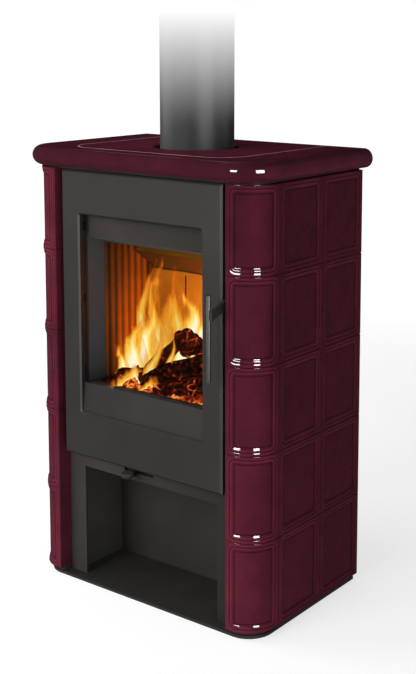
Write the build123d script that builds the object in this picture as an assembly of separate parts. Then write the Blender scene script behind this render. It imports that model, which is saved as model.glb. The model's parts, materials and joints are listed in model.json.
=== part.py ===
from build123d import *
from math import degrees
import os

# A free-standing wood stove in a jacket of glazed tiles. Millimetres, +Z up, the front faces -Y.
# The origin is at the middle of the footprint of the top slab, at floor level.

# ---- Tiled jacket ----------------------------------------------------------------------------
jacket_width = 578.0  # over the faces of the two tiled sides
corner_arm = 72.0  # each arm of a corner tile, from flank to outer face
corner_radius = 61.5  # plan radius of the rounded corner
side_tile_length = 141.5
side_tiles = 2  # flat tiles behind each corner tile
tile_rows = 5
tile_pitch = 167.4  # from joint to joint
foot_course_extra = 7.4  # the lowest row is this much taller
tile_joint = 0.6  # open width of a joint
tile_rim_depth = 36.0
tile_plate = 12.0  # thickness of the tile's front plate
tile_rim = 10.0  # thickness of the rim behind the plate

# ---- Relief on a tile's face -------------------------------------------------------------------
tile_ease = 1.2  # chamfer round the outer edge
rail_border = 11.8  # flat border along the top and bottom
stile_border = 14.8  # flat border along the sides
slope_run = 4.0
panel_depth = 3.2  # depth of the smooth panel

# ---- Base, top plate and slab ------------------------------------------------------------------
base_thickness = 6.0
base_inset = 9.3  # from the tiles' faces
foot_gap = 9.1  # shadow gap between the base plate and the tiles
foot_rail_inset = 14.0
foot_rail_width = 26.0
foot_rail_end_gap = 4.0  # between the rail's end and the corner tile's flank
cover_thickness = 3.5
cover_inset = 8.0
cover_hole_gap = 1.0  # round the flue collar, in the plate's square hole
slab_thickness = 39.0
slab_overhang = 19.0
slab_rear_overhang = 6.0
slab_hole_radius = 87.0
slab_hole_lip = 4.0  # bevel of the hole's upper edge
slab_line_inset = 101.0  # thin line on the slab, from its sides
slab_line_front_inset = 39.5
slab_line_radius = 62.0
slab_line_width = 2.0
slab_line_depth = 0.8

# ---- Flue --------------------------------------------------------------------------------------
flue_diameter = 150.0
flue_wall = 2.0
flue_set_back = 188.0  # axis behind the tiles' front
flue_rise = 277.0  # pipe above the slab
collar_fit = 0.2
collar_wall = 3.6
lid_ledge = 4.0  # the lid reaches in under the pipe
collar_height = 66.0

# ---- Front frame -------------------------------------------------------------------------------
frame_set_back = 32.3  # its face behind the tiles' front
frame_thickness = 5.0
fire_width = 326.0
fire_bottom = 422.0
fire_top = 720.0
niche_width = 347.0  # log niche's opening
niche_top = 239.0
ash_opening_width = 242.0
ash_opening_top = 388.0  # its bottom is level with the ash floor
panel_fit = 0.6  # round panels that stand in an opening

# ---- Log niche and air box ---------------------------------------------------------------------
niche_wall_gap = 396.0  # clear width between the niche's walls
niche_wall = 2.0
niche_depth = 129.7  # from the back of the frame to the niche's back wall
air_box_left = -112.0
air_box_right = 64.0
air_box_front_gap = 3.0
air_box_depth = 55.0
air_port_width = 50.0
air_port_depth = 24.0

# ---- Firebox -----------------------------------------------------------------------------------
shell_wall = 3.0
shell_depth = 241.7  # behind the frame, over its back wall
shell_top = 800.0
ash_floor_top = 288.0
grate_floor_top = 393.0
lid_thickness = 4.0
throat_wall = 3.0
throat_depth = 48.7
throat_top_drop = 16.0  # the throat's roof falls towards the fire
lining_gap = 0.5
chamber_width = 320.0  # between the side linings
chamber_front_gap = 1.0  # linings behind the throat
chamber_depth = 144.0
hearth_top = 412.0
lining_top = 760.0
flute_pitch = 20.0
flute_radius = 11.0
flute_depth = 4.0
flutes = 7
rear_slit_spacing = 136.0
rear_slit_width = 4.0
rear_slit_bottom = 470.0
rear_slit_top = 620.0
baffle_front_y = 2.0
baffle_front_z = 674.0
baffle_rear_y = 66.0
baffle_seat_z = 627.0
baffle_thickness = 20.0
baffle_side_gap = 0.5

# ---- Grate and ash pan -------------------------------------------------------------------------
grate_width = 180.0
grate_length = 100.0
grate_center_y = -12.0
grate_thickness = 13.0
grate_clearance = 1.0
grate_ledge = 12.0
grate_slots = 9
grate_slot_width = 7.0
pan_width = 224.0
pan_length = 180.0
pan_height = 62.0
pan_wall = 2.0
pan_front_thickness = 3.0
pan_lift = 0.6
pan_face_set_back = 0.8
pull_slot_width = 60.0
pull_slot_height = 14.0

# ---- Air control -------------------------------------------------------------------------------
air_slot_left = -64.0
air_slot_right = 12.0
air_slot_bottom = 254.2
air_slot_top = 262.0
blade_thickness = 2.5
blade_play = 0.3
blade_center_x = -31.0
blade_neck_width = 20.0
blade_plate_width = 110.0
blade_plate_length = 48.0
knob_radius = 13.0
knob_height = 7.0
knob_set_out = 28.0  # its centre in front of the frame's face

# ---- Door --------------------------------------------------------------------------------------
door_set_back = 6.0
door_side_gap = 12.5  # between the door and the corner tiles
door_bottom = 271.7
door_top_gap = 2.0
door_thickness = 24.0
door_plate = 5.0
door_return = 4.0
door_edge_chamfer = 3.7
window_width = 314.0
window_bottom = 365.0
window_top = 770.0
window_corner_radius = 4.0
window_chamfer = 3.0
sill_foot_drop = 4.0  # the sill starts below the window's edge
sill_top = 424.0
glass_front_depth = 12.0  # behind the door's face
glass_thickness = 4.0
glass_overlap = 6.5  # glass beyond the window's edges
glass_bottom = 416.0
glass_play = 0.3
glass_head_room = 1.5  # more overlap above the window
rope_drop = 2.5  # the rope's lower run is this much lower under the glass
seal_width = 8.0
seal_wall = 3.5  # door metal between the glass and the rope's groove
seal_groove = 3.0
seal_gap = 0.3
surround_edge = 4.0  # metal outside the rope's groove
surround_bottom = 352.0
clip_height = 18.0
clip_thickness = 1.5
clip_reach = 8.0
clip_leg = 6.0
clips_per_side = 3
clip_end_distance = 34.0

# ---- Hinges ------------------------------------------------------------------------------------
hinge_in = 5.5  # axis from the door's left edge
hinge_back = 12.0  # axis behind the door's face
hinge_pin_radius = 4.0
hinge_fit = 0.05
hinge_eye_radius = 6.0
hinge_arm_width = 9.0
hinge_lug_thickness = 6.0
hinge_lug_inset = 0.9  # lug inside the door's end
hinge_play = 0.6
hinge_boss_height = 20.0
hinge_boss_side = 12.5
hinge_pin_entry = 16.0

# ---- Latch and handle --------------------------------------------------------------------------
pivot_back = 12.0  # behind the door's face
pivot_height = 640.0
pivot_radius = 4.0
pivot_fit = 0.05
pivot_boss_length = 13.5
pivot_boss_half = 12.0
pivot_boss_wall = 3.0  # behind the bore
lever_gap = 2.0  # between the door's edge and the lever
lever_thickness = 5.0
lever_height = 18.0
lever_neck_height = 8.0
lever_shoulder = 7.0
lever_drop = 19.0  # fall of the lever from the shaft to the bar
hook_lip_height = 3.0
hook_lip_length = 4.0
hook_gap = 1.0  # behind the keeper
hook_clearance = 0.4  # under the keeper's edge when the latch is free
latch_slot_play_in = 1.7  # beside the hook, towards the middle
latch_slot_play_out = 2.1
latch_slot_drop = 13.5  # slot below the pivot
keeper_thickness = 3.0
keeper_height = 14.0
keeper_foot = 1.2  # keeper beyond each side of the slot
bar_radius = 6.0
bar_length = 164.5
bar_top_above_pivot = 19.0
bar_in = 4.5  # axis inside the door's right edge
bar_out = 35.0  # axis in front of the door's face

# ---- Carriers and rear panel -------------------------------------------------------------------
upright_thickness = 4.0
upright_half_width = 9.5
upright_rear_gap = 2.3
rear_panel_thickness = 2.0
rear_panel_side_gap = 0.5
vent_width = 84.0
vent_height = 8.0
vent_pitch_x = 104.0
vents_per_row = 4
vent_rows_z = (70.0, 795.0)

# ---- Places that follow from the sizes above ---------------------------------------------------
side_x = jacket_width / 2
inner_flank_x = side_x - corner_arm
jacket_depth = corner_arm + side_tiles * side_tile_length
slab_depth = slab_overhang + jacket_depth + slab_rear_overhang
slab_width = jacket_width + 2 * slab_overhang
front_y = slab_overhang - slab_depth / 2
rear_y = front_y + jacket_depth
tile_bottom = base_thickness + foot_gap
tile_top = tile_bottom + foot_course_extra + tile_rows * tile_pitch
slab_bottom = tile_top + cover_thickness
slab_top = slab_bottom + slab_thickness
frame_y = front_y + frame_set_back
frame_back = frame_y + frame_thickness
frame_half = inner_flank_x - tile_joint
flue_y = front_y + flue_set_back
door_face = front_y + door_set_back
door_back = door_face + door_thickness
door_half = inner_flank_x - door_side_gap
door_top = tile_top - door_top_gap
shell_half = niche_wall_gap / 2 + niche_wall
shell_back = frame_back + shell_depth
throat_back = frame_back + throat_depth
lining_front = throat_back + chamber_front_gap
chamber_back = lining_front + chamber_depth
lining_half = shell_half - lining_gap
hinge_x = -door_half + hinge_in
hinge_y = door_face + hinge_back
pivot_y = door_face + pivot_back
latch_slot_in = door_half + lever_gap - latch_slot_play_in
latch_slot_out = door_half + lever_gap + lever_thickness + latch_slot_play_out
bar_x = door_half - bar_in
bar_y = door_face - bar_out


def box_between(x0, x1, y0, y1, z0, z1):
    """A block between two opposite corners."""
    size = (x1 - x0, y1 - y0, z1 - z0)
    return Pos((x0 + x1) / 2, (y0 + y1) / 2, (z0 + z1) / 2) * Box(*size)


def rod(x, y, z0, z1, radius):
    """An upright round bar, or the cutter of an upright bore."""
    return Pos(x, y, (z0 + z1) / 2) * Cylinder(radius, z1 - z0)


def across(points, x0, x1):
    """An outline in the YZ plane, carried from x0 to x1."""
    outline = make_face(Plane.YZ.offset(x0) * Polyline(*points, close=True))
    return extrude(outline, x1 - x0, dir=(1, 0, 0))


def left_and_right(part):
    """The part and its mirror image on the other side."""
    return part, mirror(part, about=Plane.YZ)


# ---- Tiles -------------------------------------------------------------------------------------
def corner_line(depth, margin=0.0):
    """Plan line of the right-hand corner at a depth behind the tiles' faces, between its flanks."""
    center = (side_x - corner_radius, front_y + corner_radius)
    start = (inner_flank_x + margin, front_y + depth)
    end = (side_x - depth, front_y + corner_arm - margin)
    front = Line(start, (center[0], front_y + depth))
    bend = CenterArc(center, corner_radius - depth, -90, 90)
    side = Line((side_x - depth, center[1]), end)
    return front + bend + side


def corner_back(depth, margin=0.0):
    """Plan line at a depth behind the tile's front plate, which cuts straight across the bend."""
    bend_x = side_x - corner_radius
    bend_y = front_y + corner_radius
    return Polyline(
        (inner_flank_x + margin, front_y + depth),
        (bend_x, front_y + depth),
        (side_x - depth, bend_y),
        (side_x - depth, front_y + corner_arm - margin),
    )


def plan_between(outside, inside):
    """Plan face between two lines that run the same way."""
    ends = Line(outside @ 0, inside @ 0) + Line(outside @ 1, inside @ 1)
    return make_face(outside + inside + ends)


def relief(border):
    """The face's section from the tile's edge to its panel, as (distance in, depth)."""
    return [(0, tile_ease), (tile_ease, 0), (border, 0), (border + slope_run, panel_depth)]


def rail_section(z_edge, inwards):
    """Section of a tile's top or bottom border, as (depth, height) points; inwards is +1 or -1."""
    edge = [(0, 0)] + relief(rail_border)[2:]
    face = [(depth, z_edge + inwards * run) for run, depth in edge]
    root = panel_depth + tile_ease
    return [(root, z_edge)] + face + [(root, face[-1][1])]


def on_corner(run, depth):
    """Plan point at a run along the face from the front flank and a depth behind the face."""
    flat = corner_arm - corner_radius
    if run <= flat:
        return (inner_flank_x + run, front_y + depth)
    center = Vector(side_x - corner_radius, front_y + corner_radius)
    angle = degrees((run - flat) / corner_radius)
    point = center + Vector(0, depth - corner_radius).rotate(Axis.Z, angle)
    return (point.X, point.Y)


def corner_stile():
    """Plan face of the border at the corner tile's front flank, which starts round the bend."""
    edge = relief(stile_border)
    root = panel_depth + tile_ease
    bend_start = corner_arm - corner_radius
    border_end = max(stile_border, bend_start + tile_ease)
    slope_end = border_end + slope_run
    flat = [on_corner(run, depth) for run, depth in [(0, root)] + edge[:2] + [(bend_start, 0)]]
    bend_middle = (bend_start + border_end) / 2
    bend = [on_corner(run, 0) for run in (bend_start, bend_middle, border_end)]
    inner = [bend[2], on_corner(slope_end, panel_depth), on_corner(slope_end, root)]
    return make_face(Polyline(*flat) + ThreePointArc(*bend) + Polyline(*inner, flat[0]))


def corner_tile(z0, z1):
    """A right-hand corner tile: a framed, sunk panel carried round the bend, hollow behind."""
    height = z1 - z0
    body = plan_between(corner_line(panel_depth), corner_back(tile_rim_depth))
    hollow = plan_between(corner_back(tile_plate, tile_rim), corner_back(tile_rim_depth + 1, tile_rim))
    tile = Pos(0, 0, z0) * extrude(body, height)
    tile -= Pos(0, 0, z0 + tile_rim) * extrude(hollow, height - 2 * tile_rim)
    at_flank = Plane(origin=(inner_flank_x, front_y, 0), x_dir=(0, 1, 0), z_dir=(1, 0, 0))
    for z_edge, inwards in ((z0, 1), (z1, -1)):
        section = at_flank * make_face(Polyline(*rail_section(z_edge, inwards), close=True))
        tile += sweep(section, path=corner_line(0))
    diagonal_at = (side_x - corner_radius, front_y + corner_radius, 0)
    diagonal = Plane(origin=diagonal_at, z_dir=(1, 1, 0))
    stile = Pos(0, 0, z0) * extrude(corner_stile(), height)
    return tile + stile + mirror(stile, about=diagonal)


def side_tile(y0, y1, z0, z1):
    """A flat tile of the right-hand side: a framed, sunk panel, hollow behind."""
    tile = box_between(side_x - tile_rim_depth, side_x - panel_depth, y0, y1, z0, z1)
    tile -= box_between(
        side_x - tile_rim_depth - 1,
        side_x - tile_plate,
        y0 + tile_rim,
        y1 - tile_rim,
        z0 + tile_rim,
        z1 - tile_rim,
    )
    at_end = Plane(origin=(side_x, y0, 0), x_dir=(-1, 0, 0), z_dir=(0, 1, 0))
    for z_edge, inwards in ((z0, 1), (z1, -1)):
        section = at_end * make_face(Polyline(*rail_section(z_edge, inwards), close=True))
        tile += extrude(section, y1 - y0)
    for y_edge, inwards in ((y0, 1), (y1, -1)):
        face = [(side_x - depth, y_edge + inwards * run) for run, depth in relief(stile_border)]
        root_x = side_x - panel_depth - tile_ease
        outline = [(root_x, y_edge)] + face + [(root_x, face[-1][1])]
        tile += Pos(0, 0, z0) * extrude(make_face(Polyline(*outline, close=True)), z1 - z0)
    return tile


def tiles():
    """Every tile of both sides, by name, from the lowest row up."""
    named = {}
    half_joint = tile_joint / 2
    side_start = front_y + corner_arm
    for row in range(tile_rows):
        z0 = tile_bottom + row * tile_pitch + (foot_course_extra if row else 0)
        z1 = tile_bottom + (row + 1) * tile_pitch + foot_course_extra
        low = z0 + (half_joint if row else 0)
        high = z1 - (half_joint if row < tile_rows - 1 else 0)
        pieces = {"corner": corner_tile(low, high)}
        for place in range(side_tiles):
            y0 = side_start + place * side_tile_length + tile_joint
            y1 = side_start + (place + 1) * side_tile_length
            pieces[f"side_{place + 1}"] = side_tile(y0, y1, low, high)
        for place, piece in pieces.items():
            right, left = left_and_right(piece)
            named[f"tile_right_{row + 1}_{place}"] = right
            named[f"tile_left_{row + 1}_{place}"] = left
    return named


# ---- Base, cover and slab ----------------------------------------------------------------------
def jacket_plan(inset, back_y):
    """Plan face inside the tiles' faces, with the rounded front corners."""
    outline = Polyline(
        (-side_x + inset, back_y),
        (-side_x + inset, front_y + inset),
        (side_x - inset, front_y + inset),
        (side_x - inset, back_y),
        close=True,
    )
    face = make_face(outline)
    front_corners = face.vertices().group_by(Axis.Y)[0]
    return fillet(front_corners, corner_radius - inset)


def base_plate():
    return extrude(jacket_plan(base_inset, rear_y), base_thickness)


def top_plate():
    plate = Pos(0, 0, tile_top) * extrude(jacket_plan(cover_inset, rear_y), cover_thickness)
    half = flue_diameter / 2 + collar_fit + collar_wall + cover_hole_gap
    return plate - box_between(-half, half, flue_y - half, flue_y + half, tile_top - 1, slab_bottom + 1)


def top_slab():
    """The slab, with a full half-round nose on three sides and a square back."""
    nose = slab_thickness / 2
    middle_z = slab_bottom + nose
    back = slab_depth / 2
    inset = -slab_overhang + nose
    core = Pos(0, 0, slab_bottom) * extrude(jacket_plan(inset, back), slab_thickness)
    path_x = side_x - inset
    path_y = front_y + inset
    path = FilletPolyline(
        (-path_x, back),
        (-path_x, path_y),
        (path_x, path_y),
        (path_x, back),
        radius=corner_radius - inset,
    )
    start = Plane(origin=(-path_x, back, middle_z), x_dir=(1, 0, 0), z_dir=(0, -1, 0))
    slab = core + sweep(start * Circle(nose), path=Pos(0, 0, middle_z) * path)
    slab -= rod(0, flue_y, slab_bottom - 1, slab_top + 1, slab_hole_radius)
    lip = slab.edges().filter_by(GeomType.CIRCLE).group_by(Axis.Z)[-1]
    slab = chamfer(lip.sort_by(Edge.length)[-1], slab_hole_lip)
    return slab - slab_line()


def slab_line():
    """Cutter of the thin line that runs round the front of the slab's top."""
    cutters = []
    for grow in (0, slab_line_width):
        half = slab_width / 2 - slab_line_inset + grow
        front = -slab_depth / 2 + slab_line_front_inset - grow
        back = slab_depth / 2 + 1 + grow
        corners = ((-half, back), (-half, front), (half, front), (half, back))
        face = make_face(Polyline(*corners, close=True))
        face = fillet(face.vertices().group_by(Axis.Y)[0], slab_line_radius + grow)
        cutters.append(extrude(face, slab_line_depth + 1))
    return Pos(0, 0, slab_top - slab_line_depth) * (cutters[1] - cutters[0])


# ---- Flue --------------------------------------------------------------------------------------
lid_top = shell_top + lid_thickness


def flue_pipe():
    outer = flue_diameter / 2
    pipe = rod(0, flue_y, lid_top, slab_top + flue_rise, outer)
    return pipe - rod(0, flue_y, lid_top - 1, slab_top + flue_rise + 1, outer - flue_wall)


def flue_collar():
    """A cast ring on the firebox lid, round the foot of the pipe."""
    inner = flue_diameter / 2 + collar_fit
    outer = inner + collar_wall
    collar = rod(0, flue_y, lid_top, lid_top + collar_height, outer)
    return collar - rod(0, flue_y, lid_top - 1, lid_top + collar_height + 1, inner)


# ---- Front frame and niche ---------------------------------------------------------------------
keeper_edge = pivot_height + lever_neck_height / 2 + hook_lip_height + hook_clearance


def front_frame():
    """The steel front: fire opening, ash opening, air slot, latch slot and log niche in one plate."""

    def opening(x0, x1, z0, z1):
        return box_between(x0, x1, frame_y - 1, frame_back + 1, z0, z1)

    frame = box_between(-frame_half, frame_half, frame_y, frame_back, base_thickness, tile_top)
    frame -= opening(-fire_width / 2, fire_width / 2, fire_bottom, fire_top)
    frame -= opening(-niche_width / 2, niche_width / 2, base_thickness - 1, niche_top)
    ash_half = ash_opening_width / 2
    frame -= opening(-ash_half, ash_half, ash_floor_top, ash_opening_top)
    frame -= opening(air_slot_left, air_slot_right, air_slot_bottom, air_slot_top)
    slot_bottom = pivot_height - latch_slot_drop
    return frame - opening(latch_slot_in, latch_slot_out, slot_bottom, keeper_edge)


blade_bottom = air_slot_bottom + blade_play


def niche_liner():
    """Folded walls, back and roof of the log niche, with the air box on the roof."""
    half = niche_wall_gap / 2
    back = frame_back + niche_depth
    out = half + niche_wall
    roof = niche_top + niche_wall
    outer = box_between(-out, out, frame_back, back + niche_wall, base_thickness, roof)
    liner = outer - box_between(-half, half, frame_back - 1, back, base_thickness - 1, niche_top)
    box_front = frame_back + air_box_front_gap
    box_back = box_front + air_box_depth
    liner += box_between(air_box_left, air_box_right, box_front, box_back, roof, air_slot_bottom)
    liner -= box_between(
        air_box_left + niche_wall,
        air_box_right - niche_wall,
        box_front + niche_wall,
        box_back - niche_wall,
        roof,
        air_slot_bottom - niche_wall,
    )
    port_y = (box_front + box_back) / 2
    port = Box(air_port_width, air_port_depth, 4 * niche_wall)
    return liner - Pos(blade_center_x, port_y, air_slot_bottom) * port


# ---- Firebox -----------------------------------------------------------------------------------
def firebox_shell():
    """Welded steel body: two sides, a back, the ash floor and the floor that carries the grate."""
    out = shell_half + shell_wall
    back = shell_back - shell_wall
    shell = box_between(-out, out, frame_back, shell_back, base_thickness, shell_top)
    shell -= box_between(-shell_half, shell_half, frame_back - 1, back, base_thickness - 1, shell_top + 1)
    for top in (ash_floor_top, grate_floor_top):
        shell += box_between(-shell_half, shell_half, frame_back, back, top - shell_wall, top)
    hole_half_x = grate_width / 2 - grate_ledge
    hole_half_y = grate_length / 2 - grate_ledge
    return shell - box_between(
        -hole_half_x,
        hole_half_x,
        grate_center_y - hole_half_y,
        grate_center_y + hole_half_y,
        grate_floor_top - shell_wall - 1,
        grate_floor_top + 1,
    )


def firebox_lid():
    out = shell_half + shell_wall
    lid = box_between(-out, out, frame_back, shell_back, shell_top, lid_top)
    bore = flue_diameter / 2 + collar_fit - lid_ledge
    return lid - rod(0, flue_y, shell_top - 1, lid_top + 1, bore)


def fire_throat():
    """The steel mouth between the front frame and the fire, with a falling roof."""

    def section(grow):
        low_z = fire_bottom - grow
        high_z = fire_top + grow
        drop = throat_top_drop
        return [
            (frame_back, low_z),
            (throat_back, low_z),
            (throat_back, high_z - drop),
            (frame_back, high_z),
        ]

    half = fire_width / 2
    outer = across(section(throat_wall), -half - throat_wall, half + throat_wall)
    return outer - across(section(0), -half, half)


def side_lining():
    """Right-hand fire lining, with upright half-round flutes towards the fire."""
    inner = chamber_width / 2
    lining = box_between(inner, lining_half, lining_front, chamber_back, hearth_top, lining_top)
    first = (lining_front + chamber_back - (flutes - 1) * flute_pitch) / 2
    axis_x = inner - flute_radius + flute_depth
    for number in range(flutes):
        y = first + number * flute_pitch
        lining -= rod(axis_x, y, hearth_top - 1, lining_top + 1, flute_radius)
    return lining


def rear_lining():
    back = shell_back - shell_wall - lining_gap
    front = chamber_back + lining_gap
    lining = box_between(-lining_half, lining_half, front, back, hearth_top, baffle_seat_z)
    for side in (-1, 1):
        x = side * rear_slit_spacing / 2
        half = rear_slit_width / 2
        lining -= box_between(
            x - half, x + half, chamber_back, back + 1, rear_slit_bottom, rear_slit_top
        )
    return lining


def hearth_lining():
    """Hearth bricks round the grate, stepped up under the throat."""
    back = shell_back - shell_wall - lining_gap
    step_z = fire_bottom - throat_wall
    section = [
        (frame_back + lining_gap, grate_floor_top),
        (back, grate_floor_top),
        (back, hearth_top),
        (throat_back, hearth_top),
        (throat_back, step_z),
        (frame_back + lining_gap, step_z),
    ]
    hearth = across(section, -lining_half, lining_half)
    half_x = grate_width / 2 + grate_clearance
    half_y = grate_length / 2 + grate_clearance
    return hearth - box_between(
        -half_x,
        half_x,
        grate_center_y - half_y,
        grate_center_y + half_y,
        grate_floor_top - 1,
        hearth_top + 1,
    )


def baffle():
    """The plate that turns the flames forward, seated on the rear lining."""
    half = chamber_width / 2 - baffle_side_gap
    run = baffle_rear_y - baffle_front_y
    fall = baffle_front_z - baffle_seat_z
    length = (run**2 + fall**2) ** 0.5
    across_y = baffle_thickness * fall / length
    across_z = baffle_thickness * run / length
    seat_top = baffle_seat_z + baffle_thickness
    bend_y = baffle_rear_y + across_y + (across_z - baffle_thickness) * run / fall
    back = shell_back - shell_wall - lining_gap
    section = [
        (baffle_front_y, baffle_front_z),
        (baffle_rear_y, baffle_seat_z),
        (back, baffle_seat_z),
        (back, seat_top),
        (bend_y, seat_top),
        (baffle_front_y + across_y, baffle_front_z + across_z),
    ]
    return across(section, -half, half)


def fire_grate():
    grate = box_between(
        -grate_width / 2,
        grate_width / 2,
        grate_center_y - grate_length / 2,
        grate_center_y + grate_length / 2,
        grate_floor_top,
        grate_floor_top + grate_thickness,
    )
    pitch = (grate_width - 2 * grate_ledge) / grate_slots
    slot_length = grate_length - 2 * grate_ledge
    first = -(grate_slots - 1) / 2 * pitch
    for number in range(grate_slots):
        at = Pos(first + number * pitch, grate_center_y, grate_floor_top)
        grate -= at * Box(grate_slot_width, slot_length, 4 * grate_thickness)
    return grate


def ash_pan():
    """An open tray with a flush front and a finger slot."""
    bottom = ash_floor_top + pan_lift
    face = frame_y + pan_face_set_back
    start = face + pan_front_thickness
    half = pan_width / 2
    pan = box_between(-half, half, start, start + pan_length, bottom, bottom + pan_height)
    pan -= box_between(
        -half + pan_wall,
        half - pan_wall,
        start + pan_wall,
        start + pan_length - pan_wall,
        bottom + pan_wall,
        bottom + pan_height + 1,
    )
    front_half = ash_opening_width / 2 - panel_fit
    front_low = ash_floor_top + panel_fit
    front_high = ash_opening_top - panel_fit
    pan += box_between(-front_half, front_half, face, start, front_low, front_high)
    slot_z = (bottom + pan_height + front_high) / 2
    slot = Box(pull_slot_width, 4 * pan_front_thickness, pull_slot_height)
    return pan - Pos(0, face, slot_z) * slot


# ---- Air control -------------------------------------------------------------------------------
def air_slide():
    """The blade that covers the air port, with its neck through the slot."""
    knob_y = frame_y - knob_set_out
    plate_front = frame_back + air_box_front_gap
    half = blade_plate_width / 2
    neck = blade_neck_width / 2
    z0 = blade_bottom
    z1 = blade_bottom + blade_thickness
    left = blade_center_x - half
    right = blade_center_x + half
    blade = box_between(left, right, plate_front, plate_front + blade_plate_length, z0, z1)
    blade += box_between(blade_center_x - neck, blade_center_x + neck, knob_y, plate_front, z0, z1)
    return blade + rod(blade_center_x, knob_y, z0, z1, neck)


def air_knob():
    z0 = blade_bottom + blade_thickness
    return rod(blade_center_x, frame_y - knob_set_out, z0, z0 + knob_height, knob_radius)


# ---- Door --------------------------------------------------------------------------------------
window_half = window_width / 2
glass_half = window_half + glass_overlap
glass_front = door_face + glass_front_depth
glass_top = window_top + glass_overlap + glass_head_room
rope_inner_half = glass_half + seal_wall
rope_inner_low = glass_bottom - seal_wall - rope_drop
rope_inner_high = glass_top + seal_wall
lug_low = door_bottom + hinge_lug_inset
lug_high = door_top - hinge_lug_inset


def rope_ring(y0, y1, play=0.0):
    """A rectangular ring round the glass, as the sealing rope and its groove have."""
    outer_half = rope_inner_half + seal_width - play
    low = rope_inner_low - seal_width + play
    high = rope_inner_high + seal_width - play
    ring = box_between(-outer_half, outer_half, y0, y1, low, high)
    inner_half = rope_inner_half + play
    return ring - box_between(
        -inner_half, inner_half, y0 - 1, y1 + 1, rope_inner_low - play, rope_inner_high + play
    )


def door_panel():
    """The door's steel panel, with a bevelled window, a slanted sill and a hollow back."""
    plate_back = door_face + door_plate
    door = box_between(-door_half, door_half, door_face, door_back, door_bottom, door_top)
    door = chamfer(door.faces().sort_by(Axis.Y)[0].edges(), door_edge_chamfer)
    hollow = box_between(
        -door_half + door_return,
        door_half - door_return,
        plate_back,
        door_back + 1,
        door_bottom + door_return,
        door_top - door_return,
    )
    surround_half = rope_inner_half + seal_width + surround_edge
    surround_high = rope_inner_high + seal_width + surround_edge
    hollow -= box_between(
        -surround_half, surround_half, plate_back - 1, door_back + 2, surround_bottom, surround_high
    )
    door -= hollow
    window_z = (window_bottom + window_top) / 2
    window_face = Plane.XZ * RectangleRounded(
        window_width, window_top - window_bottom, window_corner_radius
    )
    window = extrude(Pos(0, plate_back, window_z) * window_face, door_plate + 1)
    bevel_face = Pos(0, door_face, window_z) * window_face
    door -= window
    door -= extrude(bevel_face, door_plate)
    rim = door.faces().filter_by(Axis.Y).sort_by(Axis.Y)[0].inner_wires()[0].edges()
    door = chamfer(rim, window_chamfer)
    sill = [
        (plate_back, window_bottom - sill_foot_drop),
        (glass_front, sill_top),
        (glass_front, window_top),
        (plate_back, window_top),
    ]
    door -= across(sill, -window_half, window_half)
    door -= box_between(-glass_half, glass_half, glass_front, door_back + 1, glass_bottom, glass_top)
    door -= rope_ring(door_back - seal_groove, door_back + 1)
    return door + latch_boss() + hinge_bosses() - door_bores()


def hinge_bosses():
    """Blocks inside the door's left edge that turn on the hinge pins."""
    x0 = -door_half
    x1 = x0 + door_return + hinge_boss_side
    y0 = door_face + door_plate
    y1 = hinge_y + hinge_eye_radius
    low = lug_low + hinge_lug_thickness + hinge_play
    high = lug_high - hinge_lug_thickness - hinge_play
    lower = box_between(x0, x1, y0, y1, low, low + hinge_boss_height)
    return lower + box_between(x0, x1, y0, y1, high - hinge_boss_height, high)


def latch_boss():
    x1 = door_half - door_return
    y0 = door_face + door_plate
    y1 = pivot_y + pivot_radius + pivot_boss_wall
    low = pivot_height - pivot_boss_half
    return box_between(x1 - pivot_boss_length, x1, y0, y1, low, low + 2 * pivot_boss_half)


def door_bores():
    """Bores for the hinge pins and the latch shaft, and the notches that clear the hinge lugs."""
    low = lug_low + hinge_lug_thickness + hinge_play
    high = lug_high - hinge_lug_thickness - hinge_play
    bore = hinge_pin_radius + hinge_fit
    cutter = rod(hinge_x, hinge_y, low - 1, low + hinge_boss_height + 1, bore)
    cutter += rod(hinge_x, hinge_y, high - hinge_boss_height - 1, high + 1, bore)
    notch_x1 = -door_half + door_return + hinge_boss_side
    plate_back = door_face + door_plate
    for z0, z1 in ((door_bottom - 1, low), (high, door_top + 1)):
        cutter += box_between(-door_half - 1, notch_x1, plate_back, door_back + 1, z0, z1)
    shaft_start = door_half - door_return - pivot_boss_length - 1
    shaft_end = door_half + 1
    shaft = Pos((shaft_start + shaft_end) / 2, pivot_y, pivot_height) * Rot(0, 90, 0)
    return cutter + shaft * Cylinder(pivot_radius + pivot_fit, shaft_end - shaft_start)


def door_glass():
    half = glass_half - glass_play
    low = glass_bottom + glass_play
    high = glass_top - glass_play
    return box_between(-half, half, glass_front, glass_front + glass_thickness, low, high)


def door_seal():
    return rope_ring(door_back - seal_groove, frame_y - seal_gap, glass_play)


def glass_clips():
    """Bent clips that hold the glass from behind, along both upright edges."""
    y0 = glass_front + glass_thickness
    x1 = glass_half
    clips = []
    for number in range(clips_per_side):
        span = glass_top - glass_bottom - 2 * clip_end_distance
        z = glass_bottom + clip_end_distance + number * span / (clips_per_side - 1)
        low = z - clip_height / 2
        high = z + clip_height / 2
        clip = box_between(x1 - clip_reach, x1, y0, y0 + clip_thickness, low, high)
        clip += box_between(x1 - clip_thickness, x1, y0, y0 + clip_leg, low, high)
        clips.extend(left_and_right(clip))
    return Compound(children=clips)


# ---- Hinges ------------------------------------------------------------------------------------
def lug(z0):
    z1 = z0 + hinge_lug_thickness
    half = hinge_arm_width / 2
    body = rod(hinge_x, hinge_y, z0, z1, hinge_eye_radius)
    body += box_between(hinge_x - half, hinge_x + half, hinge_y, frame_y, z0, z1)
    return body - rod(hinge_x, hinge_y, z0 - 1, z1 + 1, hinge_pin_radius)


def hinge_brackets():
    return Compound(children=[lug(lug_low), lug(lug_high - hinge_lug_thickness)])


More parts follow.
